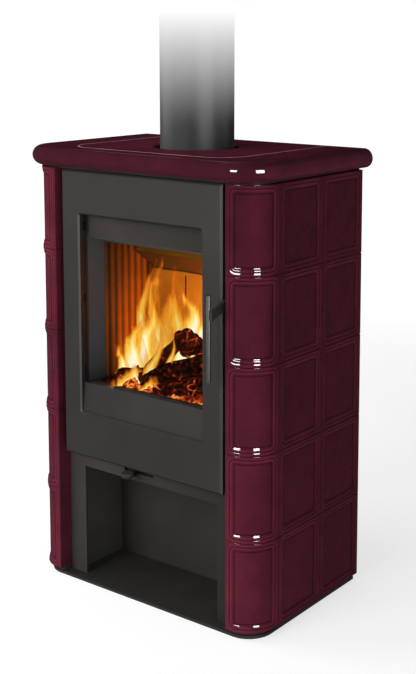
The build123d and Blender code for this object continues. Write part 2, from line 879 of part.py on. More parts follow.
def hinge_pins():
    low_end = lug_low + hinge_lug_thickness + hinge_pin_entry
    high_end = lug_high - hinge_lug_thickness - hinge_pin_entry
    lower = rod(hinge_x, hinge_y, lug_low, low_end, hinge_pin_radius)
    return Compound(children=[lower, rod(hinge_x, hinge_y, high_end, lug_high, hinge_pin_radius)])


# ---- Latch and handle --------------------------------------------------------------------------
def latch_lever():
    """Flat lever: an arm that falls forward to the bar, a hook behind, and the shaft it turns on."""
    x0 = door_half + lever_gap
    x1 = x0 + lever_thickness
    front = bar_y - lever_thickness / 2
    low = pivot_height - lever_height / 2
    high = pivot_height + lever_height / 2
    neck_low = pivot_height - lever_neck_height / 2
    neck_high = pivot_height + lever_neck_height / 2
    shoulder = pivot_y + lever_shoulder
    neck_start = shoulder + (lever_height - lever_neck_height) / 2
    lip_start = frame_back + keeper_thickness + hook_gap
    lip_end = lip_start + hook_lip_length
    lip_top = neck_high + hook_lip_height
    outline = [
        (front, low - lever_drop),
        (shoulder, low),
        (neck_start, neck_low),
        (lip_end, neck_low),
        (lip_end, lip_top),
        (lip_start, lip_top),
        (lip_start, neck_high),
        (neck_start, neck_high),
        (shoulder, high),
        (front, high - lever_drop),
    ]
    lever = across(outline, x0, x1)
    low_end = low - lever_drop
    high_end = high - lever_drop
    lever += box_between(bar_x, x1, front, front + lever_thickness, low_end, high_end)
    shaft_start = door_half - door_return - pivot_boss_length
    shaft = Pos((shaft_start + x1) / 2, pivot_y, pivot_height) * Rot(0, 90, 0)
    lever += shaft * Cylinder(pivot_radius, x1 - shaft_start)
    return lever - rod(bar_x, bar_y, low_end - 1, high_end + 1, bar_radius)


def handle_bar():
    top = pivot_height + bar_top_above_pivot
    return rod(bar_x, bar_y, top - bar_length, top, bar_radius)


def latch_keeper():
    """Strip behind the front frame whose lower edge holds the hook."""
    x0 = latch_slot_in - keeper_foot
    x1 = latch_slot_out + keeper_foot
    back = frame_back + keeper_thickness
    return box_between(x0, x1, frame_back, back, keeper_edge, keeper_edge + keeper_height)


# ---- Tile carriers and rear panel --------------------------------------------------------------
def carrier():
    """Right-hand carrier: the foot rail under the tiles and the uprights behind their rims."""
    rail_back = foot_rail_inset + foot_rail_width
    outside = corner_line(foot_rail_inset, foot_rail_end_gap)
    rail_face = plan_between(outside, corner_back(rail_back, foot_rail_end_gap))
    frame = Pos(0, 0, base_thickness) * extrude(rail_face, foot_gap)
    side_start = front_y + corner_arm
    frame += box_between(
        side_x - foot_rail_inset - foot_rail_width,
        side_x - foot_rail_inset,
        side_start - foot_rail_end_gap - 1,
        rear_y - upright_rear_gap,
        base_thickness,
        tile_bottom,
    )
    x1 = side_x - tile_rim_depth
    x0 = x1 - upright_thickness
    half = upright_half_width
    last = rear_y - upright_rear_gap - half
    middles = [side_start + place * side_tile_length for place in range(side_tiles)]
    for y in middles + [last]:
        frame += box_between(x0, x1, y - half, y + half, base_thickness, tile_top)
    return frame


def rear_panel():
    """Plain back sheet with rows of vents for the air that rises behind the tiles."""
    half = side_x - tile_rim_depth - rear_panel_side_gap
    y0 = rear_y - rear_panel_thickness
    panel = box_between(-half, half, y0, rear_y, base_thickness, tile_top)
    first = -(vents_per_row - 1) / 2 * vent_pitch_x
    for z in vent_rows_z:
        for number in range(vents_per_row):
            vent = Box(vent_width, 4 * rear_panel_thickness, vent_height)
            panel -= Pos(first + number * vent_pitch_x, rear_y, z) * vent
    return panel


lining_right, lining_left = left_and_right(side_lining())
pieces = tiles()
pieces.update(
    base_plate=base_plate(),
    top_plate=top_plate(),
    top_slab=top_slab(),
    flue_pipe=flue_pipe(),
    flue_collar=flue_collar(),
    front_frame=front_frame(),
    niche_liner=niche_liner(),
    firebox_shell=firebox_shell(),
    firebox_lid=firebox_lid(),
    fire_throat=fire_throat(),
    lining_right=lining_right,
    lining_left=lining_left,
    lining_rear=rear_lining(),
    lining_hearth=hearth_lining(),
    baffle=baffle(),
    fire_grate=fire_grate(),
    ash_pan=ash_pan(),
    air_slide=air_slide(),
    air_knob=air_knob(),
    door_panel=door_panel(),
    door_glass=door_glass(),
    door_seal=door_seal(),
    glass_clips=glass_clips(),
    hinge_brackets=hinge_brackets(),
    hinge_pins=hinge_pins(),
    latch_lever=latch_lever(),
    handle_bar=handle_bar(),
    latch_keeper=latch_keeper(),
    tile_carriers=Compound(children=list(left_and_right(carrier()))),
    rear_panel=rear_panel(),
)

os.makedirs("parts", exist_ok=True)
for name, piece in pieces.items():
    export_step(piece, f"parts/{name}.step")
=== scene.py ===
import json
import math
import random

import bmesh
import bpy
from mathutils import Euler, Matrix, Vector, noise


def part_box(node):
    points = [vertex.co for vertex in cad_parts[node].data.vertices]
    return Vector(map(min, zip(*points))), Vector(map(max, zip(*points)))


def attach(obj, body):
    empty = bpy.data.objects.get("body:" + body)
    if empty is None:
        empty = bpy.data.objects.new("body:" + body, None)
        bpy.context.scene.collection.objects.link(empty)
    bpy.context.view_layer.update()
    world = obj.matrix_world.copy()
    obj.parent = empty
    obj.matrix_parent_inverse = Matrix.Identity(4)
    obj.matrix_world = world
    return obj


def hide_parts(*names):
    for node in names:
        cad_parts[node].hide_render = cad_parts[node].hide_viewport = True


# The looks of a tiled wood stove. Lengths are millimetres until a finished mesh is scaled to metres;
# places in the shaders, and the lamps' sizes and distances, are metres.
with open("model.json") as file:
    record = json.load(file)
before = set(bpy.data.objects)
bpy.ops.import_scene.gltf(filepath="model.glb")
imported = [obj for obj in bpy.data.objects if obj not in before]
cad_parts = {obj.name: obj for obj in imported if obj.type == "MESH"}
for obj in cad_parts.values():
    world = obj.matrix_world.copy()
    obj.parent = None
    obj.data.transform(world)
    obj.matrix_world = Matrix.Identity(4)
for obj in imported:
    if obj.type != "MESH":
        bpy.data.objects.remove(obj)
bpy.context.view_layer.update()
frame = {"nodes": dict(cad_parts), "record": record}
MM = 0.001


def place(node):
    """Lowest and highest corner of a part of the stove, in millimetres."""
    low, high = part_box(node)
    return Vector(low) / MM, Vector(high) / MM


# ---- Camera ------------------------------------------------------------------------------------
CAMERA_AT = Vector((1541.3, -1876.5, 1125.3))
CAMERA_YAW = math.radians(36.65)
CAMERA_PITCH = math.radians(7.24)
CAMERA_ROLL = math.radians(0.17)
CAMERA_LENS = 64.74
CAMERA_SHIFT = (-0.0620, -0.22)


def add_camera():
    """The camera of the photograph: to the right of the front, a little above the slab."""
    level = Vector((-math.sin(CAMERA_YAW), math.cos(CAMERA_YAW), 0))
    side = Vector((math.cos(CAMERA_YAW), math.sin(CAMERA_YAW), 0))
    above = Vector((0, 0, 1))
    forward = math.cos(CAMERA_PITCH) * level - math.sin(CAMERA_PITCH) * above
    upright = math.cos(CAMERA_PITCH) * above + math.sin(CAMERA_PITCH) * level
    right = math.cos(CAMERA_ROLL) * side + math.sin(CAMERA_ROLL) * upright
    up = math.cos(CAMERA_ROLL) * upright - math.sin(CAMERA_ROLL) * side
    data = bpy.data.cameras.new("photo_camera")
    data.lens = CAMERA_LENS
    data.sensor_width = 36.0
    data.sensor_fit = "AUTO"
    data.shift_x, data.shift_y = CAMERA_SHIFT
    camera = bpy.data.objects.new("photo_camera", data)
    turn = Matrix((right, up, -forward)).transposed().to_4x4()
    camera.matrix_world = Matrix.Translation(CAMERA_AT * MM) @ turn
    bpy.context.scene.collection.objects.link(camera)
    bpy.context.scene.camera = camera


# ---- Shader expressions ------------------------------------------------------------------------
class Tone:
    """A value in a material's nodes; arithmetic on it adds the nodes that work it out."""

    def __init__(self, finish, socket):
        self.finish = finish
        self.socket = socket

    def maths(self, operation, *others):
        made = self.finish.node("ShaderNodeMath", {"operation": operation})
        for number, value in enumerate((self, *others)):
            self.finish.feed(made.socket.node.inputs[number], value)
        return made

    def __add__(self, other):
        return self.maths("ADD", other)

    def __sub__(self, other):
        return self.maths("SUBTRACT", other)

    def __rsub__(self, other):
        return (self * -1.0) + other

    def __mul__(self, other):
        return self.maths("MULTIPLY", other)

    def __pow__(self, other):
        return self.maths("POWER", other)

    def rise(self, start, end):
        """0 below start, 1 above end, and smooth between."""
        return self.finish.node(
            "ShaderNodeMapRange",
            {"interpolation_type": "SMOOTHSTEP"},
            {"Value": self, "From Min": start, "From Max": end},
        )

    def ramp(self, *stops):
        """Colours along the value, from (position, colour) stops."""
        return self.finish.node("ShaderNodeValToRGB", {"stops": stops}, {"Fac": self})

    def scaled(self, factor):
        """The same colour, lighter or darker by a factor."""
        inputs = {0: self, "Scale": factor}
        return self.finish.node("ShaderNodeVectorMath", {"operation": "SCALE"}, inputs)

    def blend(self, first, second):
        """From the first colour to the second, as this value goes from 0 to 1."""
        inputs = {0: self, 6: first, 7: second}
        return self.finish.node("ShaderNodeMix", {"data_type": "RGBA"}, inputs, output=2)

    def length(self):
        """How long a vector is."""
        settings = {"operation": "LENGTH"}
        return self.finish.node("ShaderNodeVectorMath", settings, {0: self}, output="Value")

    def part(self, axis):
        """One coordinate of a vector."""
        return self.finish.node("ShaderNodeSeparateXYZ", {}, {"Vector": self}, output=axis)


class Finish:
    """A surface: one material, its shader and the nodes that vary it.

    Constants are named after the shader's sockets, with underscores for spaces.
    """

    def __init__(self, name, **constants):
        self.material = bpy.data.materials.new(name)
        self.material.use_nodes = True
        self.tree = self.material.node_tree
        self.shader = self.tree.nodes["Principled BSDF"]
        for socket, value in constants.items():
            self.shader.inputs[socket.replace("_", " ")].default_value = value

    def node(self, kind, settings=None, inputs=None, output=0):
        made = self.tree.nodes.new(kind)
        for key, value in (settings or {}).items():
            if key == "stops":
                set_stops(made.color_ramp, value)
            else:
                setattr(made, key, value)
        for key, value in (inputs or {}).items():
            self.feed(made.inputs[key], value)
        return Tone(self, made.outputs[output])

    def feed(self, socket, value):
        if isinstance(value, Tone):
            self.tree.links.new(value.socket, socket)
        else:
            socket.default_value = value

    def set(self, socket, value):
        self.feed(self.shader.inputs[socket], value)

    def spot(self, output="Object"):
        """Where a point is, in metres, or in the piece's own map."""
        return self.node("ShaderNodeTexCoord", output=output)

    def stretched(self, scale):
        return self.node("ShaderNodeMapping", {}, {"Vector": self.spot(), "Scale": scale})

    def cloud(self, size, detail=3.0, roughness=0.5, stretch=(1, 1, 1)):
        """Soft noise whose blotches are about that many millimetres across."""
        where = self.stretched(stretch)
        inputs = {"Vector": where, "Scale": 1 / (size * MM), "Detail": detail, "Roughness": roughness}
        return self.node("ShaderNodeTexNoise", {}, inputs)

    def cracks(self, size):
        """0 on the borders between cells of about that many millimetres, and more inside them."""
        inputs = {"Vector": self.spot(), "Scale": 1 / (size * MM), "Randomness": 1.0}
        return self.node("ShaderNodeTexVoronoi", {"feature": "DISTANCE_TO_EDGE"}, inputs)

    def streaks(self, across, along, detail, distortion):
        """Upright streaks, about that many millimetres across and along."""
        where = self.stretched((1 / across, 1 / across, 1 / along))
        inputs = {"Vector": where, "Scale": 1 / MM, "Detail": detail, "Distortion": distortion}
        return self.node("ShaderNodeTexNoise", {}, inputs)

    def fade_to(self, colour, share):
        """Lets the surface go over into an even painted glow, emitted in that colour, as the share goes
        from 0 to 1.
        """
        light = self.tree.nodes.new("ShaderNodeBsdfPrincipled")
        light.inputs["Base Color"].default_value = (0, 0, 0, 1)
        light.inputs["Specular IOR Level"].default_value = 0.0
        light.inputs["Emission Color"].default_value = colour
        light.inputs["Emission Strength"].default_value = 1.0
        mixed = self.tree.nodes.new("ShaderNodeMixShader")
        self.feed(mixed.inputs[0], share)
        self.tree.links.new(self.shader.outputs[0], mixed.inputs[1])
        self.tree.links.new(light.outputs[0], mixed.inputs[2])
        self.tree.links.new(mixed.outputs[0], self.tree.nodes["Material Output"].inputs["Surface"])

    def bump(self, height, depth, strength=1.0):
        """Relief of a height between 0 and 1, that many millimetres deep."""
        inputs = {"Strength": strength, "Distance": depth * MM, "Height": height}
        return self.node("ShaderNodeBump", {}, inputs)


def set_stops(ramp, stops):
    """Gives a colour ramp its (position, colour) stops."""
    while len(ramp.elements) < len(stops):
        ramp.elements.new(0.5)
    for element, (position, colour) in zip(ramp.elements, stops):
        element.position = position
        element.color = (*colour, 1.0)


def shade(hexcode):
    """A colour as the shader takes it, from its screen value."""
    channels = [int(hexcode[i : i + 2], 16) / 255 for i in (0, 2, 4)]
    return tuple(c / 12.92 if c <= 0.04045 else ((c + 0.055) / 1.055) ** 2.4 for c in channels)


# ---- Finishes ----------------------------------------------------------------------------------
# Where painted light and shade on the glaze change: from, to, in metres of height, of depth or of
# distance to the left.
LOW_DOWN = (0.0, 0.62)
AT_FRONT = (-0.20, 0.16)
BEND_RISE = (0.2, 0.45)
TOP_COURSE = (0.66, 0.8)
LEFT_COLUMN = (0.15, 0.25)
LEFT_RISE = (0.45, 0.75)
INNER_SIDE = (0.0, 0.1)
INNER_RISE = (0.1, 0.5)
# Where the fire lining's colour and its painted shade change, in millimetres out from the middle, of
# height, or of depth.
LINING_SIDE = (150.0, 158.0)
FLUTE_SOOT = (161.0, 164.5)
ASH = (396.0, 424.0)
SMOKE = (480.0, 720.0)
NOOK = (28.0, 52.0)
SLIT = (60.6, 62.0)
# From the cold end of the embers to the hot one, and up the pipe's fade, in millimetres.
EMBER_WAKE = (-130.0, -85.0)
PIPE_FADE = (938.0, 1170.0)


def metres(lengths):
    """Lengths in millimetres, in metres."""
    return [length * MM for length in lengths]


def glaze(name, deep, clear, low_gain=0.0, bend_gain=0.0, inner_gain=0.0, right_gain=0.0):
    """Burgundy glaze over clay, paler where it breaks over an edge and darker where it pools; that
    edge tone also paints the highlights on the edges and the shade in the grooves.

    Gains paint light: they lighten it low down at the front, round the right corner's bend (with
    a darker top there, painted shade, and a paler one on the left column), on the left column's
    inner flank, and where it faces right.
    """
    finish = Finish(name, Roughness=0.5, Specular_IOR_Level=0.0, Coat_Roughness=0.03, Coat_IOR=1.5)
    clouds = finish.cloud(46, detail=4.0) * 0.7 + finish.cloud(3.5, detail=2.0) * 0.3
    tone = clouds.ramp((0.36, shade(deep)), (0.66, shade(clear)))
    # Edge tone: paler glaze breaking over edges and darker pooling, also painted highlights and painted
    # shade on the relief.
    worn = finish.node("ShaderNodeAttribute", {"attribute_name": "edge_tone"}, output="Fac")
    tone = tone.scaled(worn * 0.55 + 1.0)
    where = finish.spot()
    height = where.part(2)
    leftwards = where.part(0) * -1.0
    sideways = finish.spot("Normal").part(0)
    turned_right = sideways.rise(0.6, 0.95)
    # Painted light round the bend, painted shade on the top course, painted light on the left column.
    if bend_gain:
        bend = sideways.rise(0.3, 0.9) * (1 - sideways.rise(0.93, 0.999)) * height.rise(*BEND_RISE)
        tone = tone.scaled(bend * bend_gain + 1.0)
        front_top = (1 - sideways.rise(0.35, 0.85)) * height.rise(*TOP_COURSE)
        left_top = leftwards.rise(*LEFT_COLUMN) * height.rise(*LEFT_RISE)
        tone = tone.scaled(front_top * -0.2 + left_top * 0.5 + 1.0)
    # Painted light low down at the front.
    if low_gain:
        low_front = (1 - height.rise(*LOW_DOWN)) * (1 - where.part(1).rise(*AT_FRONT))
        tone = tone.scaled(low_front * low_gain + 1.0)
    # Painted light on the left column's inner flank.
    if inner_gain:
        inner = turned_right * leftwards.rise(*INNER_SIDE) * height.rise(*INNER_RISE)
        tone = tone.scaled(inner * inner_gain + 1.0)
    # Painted light on faces turned right.
    if right_gain:
        tone = tone.scaled(turned_right * right_gain + 1.0)
    finish.set("Base Color", tone)
    facing_up = finish.spot("Normal").part(2)
    finish.set("Coat Weight", 1 - facing_up.rise(0.80, 0.97) * 0.93)
    waves = finish.cloud(38, detail=1.0)
    finish.set("Normal", finish.bump(waves, 0.15))
    return finish.material


def painted_steel(
    name,
    dark,
    light,
    roughness=0.5,
    grain=0.35,
    right_faces=0.0,
    up_faces=0.0,
    right_edges=0.0,
    left_gain=0.0,
):
    """Heat-proof stove paint: fine even grain, with faint clouds in its sheen.

    Painted light and shade: faces turned to the stove's right, or upwards, edges bevelled to the
    right (a painted highlight), and the stove's left end, are darker or lighter by a share.
    """
    finish = Finish(name, Metallic=0.0, Specular_IOR_Level=0.4)
    fine = finish.cloud(grain, detail=2.0, roughness=0.6)
    clouds = finish.cloud(90, detail=3.0)
    tone = (fine * 0.35 + clouds * 0.65).ramp((0.32, shade(dark)), (0.68, shade(light)))
    # Painted light or shade on faces turned right or upwards.
    for axis, share in ((0, right_faces), (2, up_faces)):
        if share:
            turned = finish.spot("Normal").part(axis).rise(0.75, 0.95)
            tone = tone.scaled(turned * share + 1.0)
    # Painted highlight on edges bevelled to the right.
    if right_edges:
        turned = finish.spot("Normal").part(0)
        tone = tone.scaled(turned.rise(0.5, 0.65) * (1 - turned.rise(0.75, 0.9)) * right_edges + 1.0)
    # Painted light at the stove's left end, painted shade at its right.
    if left_gain:
        to_right = finish.spot().part(0).rise(-0.2, 0.2)
        tone = tone.scaled(to_right * (-2.0 * left_gain) + (1.0 + left_gain))
    finish.set("Base Color", tone)
    finish.set("Roughness", clouds * 0.12 + (roughness - 0.06))
    finish.set("Normal", finish.bump(fine, 0.03, 0.6))
    return finish.material


def pipe_enamel():
    """Dark enamel that fades into a painted white glow, emitted, towards the top of the pipe, like the
    white of the studio.
    """
    finish = Finish("flue_enamel", Roughness=0.35, Specular_IOR_Level=0.5)
    start, end = metres(PIPE_FADE)
    inputs = {"Value": finish.spot().part(2), "From Min": start, "From Max": end}
    # Painted glow: white emission mixed in towards the pipe's top.
    pale = finish.node("ShaderNodeMapRange", {}, inputs) ** 1.7
    fine = finish.cloud(0.5, detail=2.0)
    finish.set("Base Color", fine.ramp((0.3, shade("3a3b3b")), (0.7, shade("454646"))))
    finish.fade_to((1, 1, 1, 1), pale)
    finish.set("Normal", finish.bump(fine, 0.02, 0.5))
    return finish.material


def polished_steel(name, colour, roughness, metallic=1.0):
    """Brushed metal with fine upright strokes."""
    finish = Finish(name, Metallic=metallic)
    finish.set("Base Color", (*shade(colour), 1.0))
    strokes = finish.cloud(1.2, detail=3.0, stretch=(1, 1, 0.03))
    finish.set("Roughness", strokes * 0.14 + roughness)
    return finish.material


def fire_brick():
    """Fire-clay with clouds of soot: darker deep in the flutes, on faces turned downwards, towards the
    top of the side linings and nearly black low down; painted shade towards the rear of the side linings
    and in the gaps between side and rear linings.
    """
    finish = Finish("fire_lining", Roughness=0.9, Specular_IOR_Level=0.1)
    soot = finish.cloud(70, detail=5.0, roughness=0.6)
    grit = finish.cloud(1.6, detail=3.0)
    stain = soot * 0.7 + grit * 0.3
    where = finish.spot()
    height = where.part(2)
    outwards = where.part(0).maths("ABSOLUTE")
    rear = stain.ramp((0.3, shade("794e10")), (0.7, shade("9e6b18")))
    sides = stain.ramp((0.3, shade("924e0c")), (0.7, shade("bc6e12")))
    beside = outwards.rise(*metres(LINING_SIDE))
    clean = 1 - outwards.rise(*metres(FLUTE_SOOT)) * 0.6
    raised = height.rise(*metres(ASH)) * 0.94 + 0.06
    smoked = 1 - height.rise(*metres(SMOKE)) * beside * 0.5
    overhead = 1 - finish.spot("Normal").part(2).rise(-0.2, -0.5) * 0.80
    # Painted shade towards the rear of the side linings.
    nook = 1 - where.part(1).rise(*metres(NOOK)) * beside * 0.6
    turned_aside = finish.spot("Normal").part(0).maths("ABSOLUTE").rise(0.7, 0.9)
    # Painted shade in the gaps between the side and rear linings.
    slits = 1 - turned_aside * where.part(1).rise(*metres(SLIT)) * 0.92
    soiled = clean * raised * smoked * overhead * nook * slits
    finish.set("Base Color", beside.blend(rear, sides).scaled(soiled))
    finish.set("Normal", finish.bump(grit, 0.25, 0.8))
    return finish.material


def fire_glass():
    """Clear ceramic glass, seen only by its faint gloss."""
    finish = Finish("fire_glass", Roughness=0.03, Alpha=0.05)
    smoke = finish.cloud(120, detail=2.0)
    finish.set("Base Color", smoke.ramp((0.3, shade("1a1512")), (0.7, shade("2a211b"))))
    return finish.material


def rope():
    """Grey braided sealing rope."""
    finish = Finish("seal_rope", Roughness=0.95)
    braid = finish.node(
        "ShaderNodeTexWave",
        {"bands_direction": "DIAGONAL"},
        {"Vector": finish.spot(), "Scale": 120.0, "Distortion": 2.0},
    )
    finish.set("Base Color", braid.ramp((0.2, shade("1c1c1b")), (0.8, shade("4a4946"))))
    finish.set("Normal", finish.bump(braid, 0.5))
    return finish.material


def charred_wood():
    """Burnt bark, black on its ridges, with dull red in the cracks."""
    finish = Finish("charred_wood", Roughness=0.9, Specular_IOR_Level=0.0, Emission_Strength=1.0)
    cracks = finish.cracks(17)
    bark = finish.cloud(9, detail=5.0, roughness=0.65)
    patches = finish.cloud(34, detail=3.0).rise(0.46, 0.66)
    finish.set("Base Color", bark.ramp((0.3, shade("020101")), (0.75, shade("120704"))))
    glow = (1 - cracks.rise(0.0, 0.16)) * patches * 0.8 + bark.rise(0.42, 0.72) * 0.42
    stops = ((0.0, (0, 0, 0)), (0.3, shade("3a0c05")), (0.7, shade("982a0b")), (1.0, shade("f2702a")))
    finish.set("Emission Color", glow.ramp(*stops))
    finish.set("Normal", finish.bump(bark, 3.0))
    return finish.material


def ember():
    """Charcoal with fire in the gaps, cold at the left end of the hearth."""
    finish = Finish("ember", Roughness=0.9, Specular_IOR_Level=0.0, Emission_Strength=1.0)
    gaps = finish.cracks(15)
    flakes = finish.cloud(4, detail=5.0, roughness=0.7)
    draught = finish.cloud(38, detail=2.0).rise(0.36, 0.62)
    awake = finish.spot().part(0).rise(*metres(EMBER_WAKE))
    heat = (1 - gaps.rise(0.0, 0.40)) * 0.4 + flakes * 0.7 - 0.2
    heat = heat * (draught * 0.7 + 0.5) * (awake * 0.85 + 0.15)
    finish.set("Base Color", flakes.ramp((0.3, shade("030202")), (0.8, shade("190a06"))))
    stops = (
        (0.08, shade("0c0201")),
        (0.22, shade("5a1106")),
        (0.38, shade("b83a0d")),
        (0.60, shade("ff9a40")),
    )
    finish.set("Emission Color", heat.ramp(*stops))
    return finish.material


def flame(name, core, strength, ragged=0.75, cover=0.94):
    """A tongue of flame on the sheet's own map: ragged, clear at its edges, palest in its core."""
    finish = Finish(
        name,
        Base_Color=(0, 0, 0, 1),
        Roughness=1.0,
        Specular_IOR_Level=0.0,
        Emission_Strength=strength,
    )
    across = finish.spot("UV").part(0)
    up = finish.spot("UV").part(1)
    curl = finish.streaks(48, 130, 2.0, 0.4)
    lick = finish.streaks(13, 80, 4.0, 0.9)
    bent = across + (curl - 0.5) * (up * 0.7 + 0.1)
    off_middle = (bent * 2.0 - 1.0).maths("ABSOLUTE")
    body = ((1 - up).maths("MAXIMUM", 0.0) ** 0.65) * 1.05 - off_middle * 1.05
    heat = body + (lick - 0.5) * ragged
    finish.set("Alpha", heat.rise(0.0, 0.45) * up.rise(0.0, 0.10) * cover)
    warmth = heat * core + (0.35 - up * 0.35)
    stops = (
        (0.05, shade("b84a08")),
        (0.35, shade("e8841a")),
        (0.60, shade("f9b93a")),
        (0.82, shade("ffe27a")),
        (1.0, shade("fff6cc")),
    )
    finish.set("Emission Color", warmth.ramp(*stops))
    return finish.material


def make_finishes():
    """The finish of every material slot, and those of the fire."""
    steel = painted_steel
    # The tiles' glaze gains are painted light.
    tile_gains = {"low_gain": 0.6, "bend_gain": 0.38, "inner_gain": 0.6}
    return {
        "tile_glaze": glaze("tile_glaze", "411721", "4e1b26", **tile_gains),
        # Painted light on the slab's faces turned right.
        "slab_glaze": glaze("slab_glaze", "38151e", "431823", right_gain=0.9),
        # The line's pale glaze is a painted highlight.
        "line_glaze": glaze("line_glaze", "b47e88", "c6929c"),
        "black_steel": steel("black_steel", "26231f", "2f2c28", 0.6),
        "flue_enamel": pipe_enamel(),
        "cast_iron": steel("cast_iron", "242321", "35332f", 0.6, 1.2),
        # Painted light on the frame's left end, painted shade on its right.
        "frame_steel": steel("frame_steel", "2e2a27", "33302c", left_gain=0.3),
        # Painted light on the niche's faces turned right, its left wall.
        "niche_steel": steel("niche_steel", "2c2a28", "33312e", right_faces=1.7),
        "shell_steel": steel("shell_steel", "2a2928", "363533", 0.6),
        # Painted shade on the throat's upward faces; its blue-grey colour offsets the orange firelight
        # so the throat looks grey.
        "throat_steel": steel("throat_steel", "48616b", "506973", 0.55, up_faces=-0.9),
        "fire_lining": fire_brick(),
        "pan_steel": steel("pan_steel", "3a3835", "4a4845", 0.5),
        "lever_steel": steel("lever_steel", "2c2a28", "383633", 0.35),
        "knob_steel": steel("knob_steel", "32302d", "3e3c39", 0.25),
        # Painted shade on the door's faces turned right, the window's reveal, and a painted highlight on
        # its right chamfers.
        "door_steel": steel("door_steel", "2a2827", "2f2d2b", 0.45, right_faces=-0.3, right_edges=1.8),
        "fire_glass": fire_glass(),
        "seal_rope": rope(),
        "plain_steel": polished_steel("plain_steel", "383735", 0.45),
        "polished_bar": polished_steel("polished_bar", "6e6c69", 0.17, 0.85),
        "rear_steel": steel("rear_steel", "2f2e2c", "3a3937", 0.55),
        "charred_wood": charred_wood(),
        "ember": ember(),
    }


# ---- Mesh helpers ------------------------------------------------------------------------------
SHARP_ANGLE = math.radians(38)


def finish_piece(name, bm, material, body, replaces=(), even=True):
    """Turns a bmesh in millimetres into a finished piece of the stove that rides on a body."""
    bmesh.ops.scale(bm, vec=(MM, MM, MM), verts=bm.verts[:])
    for face in bm.faces:
        face.smooth = True
    for edge in bm.edges:
        edge.smooth = edge.calc_face_angle(0.0) < SHARP_ANGLE
    mesh = bpy.data.meshes.new(name)
    bm.to_mesh(mesh)
    bm.free()
    piece = bpy.data.objects.new(name, mesh)
    mesh.materials.append(material)
    bpy.context.scene.collection.objects.link(piece)
    if even:
        weights = piece.modifiers.new("even_light", "WEIGHTED_NORMAL")
        weights.keep_sharp = True
    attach(piece, body)
    if replaces:
        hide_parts(*replaces)
    return piece


def add_block(bm, low, high):
    """A closed box between two corners."""
    low, high = Vector(low), Vector(high)
    size = high - low
    at = Matrix.Translation((low + high) / 2) @ Matrix.Diagonal((*size, 1))
    return bmesh.ops.create_cube(bm, size=1, matrix=at)["verts"]


def round_off(bm, geometry, offset, segments, affect="EDGES"):
    return bmesh.ops.bevel(
        bm, geom=geometry, offset=offset, segments=segments, affect=affect, profile=0.5, material=-1
    )


def turned(profile, center, steps):
    """A round piece, from its (radius, height) profile about an upright axis."""
    bm = bmesh.new()
    points = [bm.verts.new((radius, 0, height)) for radius, height in profile]
    lines = [bm.edges.new(pair) for pair in zip(points, points[1:])]
    bmesh.ops.spin(
        bm,
        geom=points + lines,
        cent=(0, 0, 0),
        axis=(0, 0, 1),
        dvec=(0, 0, 0),
        angle=2 * math.pi,
        steps=steps,
        use_merge=True,
    )
    bmesh.ops.remove_doubles(bm, verts=bm.verts[:], dist=0.001)
    bmesh.ops.recalc_face_normals(bm, faces=bm.faces[:])
    bmesh.ops.translate(bm, vec=center, verts=bm.verts[:])
    return bm


def arc(center, radius, start, end, steps):
    """Points of an arc in a profile, from one angle in degrees to another."""
    points = []
    for step in range(steps + 1):
        angle = math.radians(start + (end - start) * step / steps)
        points.append((center[0] + radius * math.cos(angle), center[1] + radius * math.sin(angle)))
    return points


# ---- Glazed tiles ------------------------------------------------------------------------------
TILE_DEPTH = 36.0
TILE_RIM = 10.0
TILE_PLATE = 12.0
TILE_ROUND = 1.0
CORNER_RADIUS = 61.5
CORNER_FLAT = 10.5
BEND_CUT = 3.0
RAIL_BORDER = 3.4
STILE_BORDER = 6.4
RING_RADIUS = 16.0
STEP_RUN = 4.2
STEP_DROP = 1.0
BAND_RUN = 1.9
SLOPE_RUN = 7.0
SLOPE_DROP = 2.2
LINE_RUN = 1.0
# Darker pooled glaze at the panel's foot, also painted shade in the groove.
POOL_TONE = -0.6
HOLLOW_TAPER = 0.05


def soft_fall(run, drop, steps):
    """Insets, falls and edge tones (glaze break and painted light) of a slope that is rounded at its top
    and bottom.
    """
    section = []
    for step in range(steps):
        start = math.cos(math.pi * step / steps)
        end = math.cos(math.pi * (step + 1) / steps)
        section.append((run / steps, drop * (start - end) / 2, end**3))
    return section


def facing(bm, direction, level):
    """The largest face that looks in a direction, and lies at a level along it."""
    direction = Vector(direction)
    found = [
        face
        for face in bm.faces
        if face.normal.dot(direction) > 0.99
        and abs(face.calc_center_median().dot(direction) - level) < 0.01
    ]
    return max(found, key=lambda face: face.calc_area())


def cut_through(bm, point, direction, clear_outer=False):
    """Cuts every face along a plane, and takes off what lies beyond it if that is asked for."""
    whole = bm.verts[:] + bm.edges[:] + bm.faces[:]
    bmesh.ops.bisect_plane(
        bm, geom=whole, dist=0.001, plane_co=point, plane_no=direction, clear_outer=clear_outer
    )


def inset(bm, face, run, rise):
    bmesh.ops.inset_region(
        bm, faces=[face], thickness=run, depth=rise, use_even_offset=True, use_boundary=True
    )


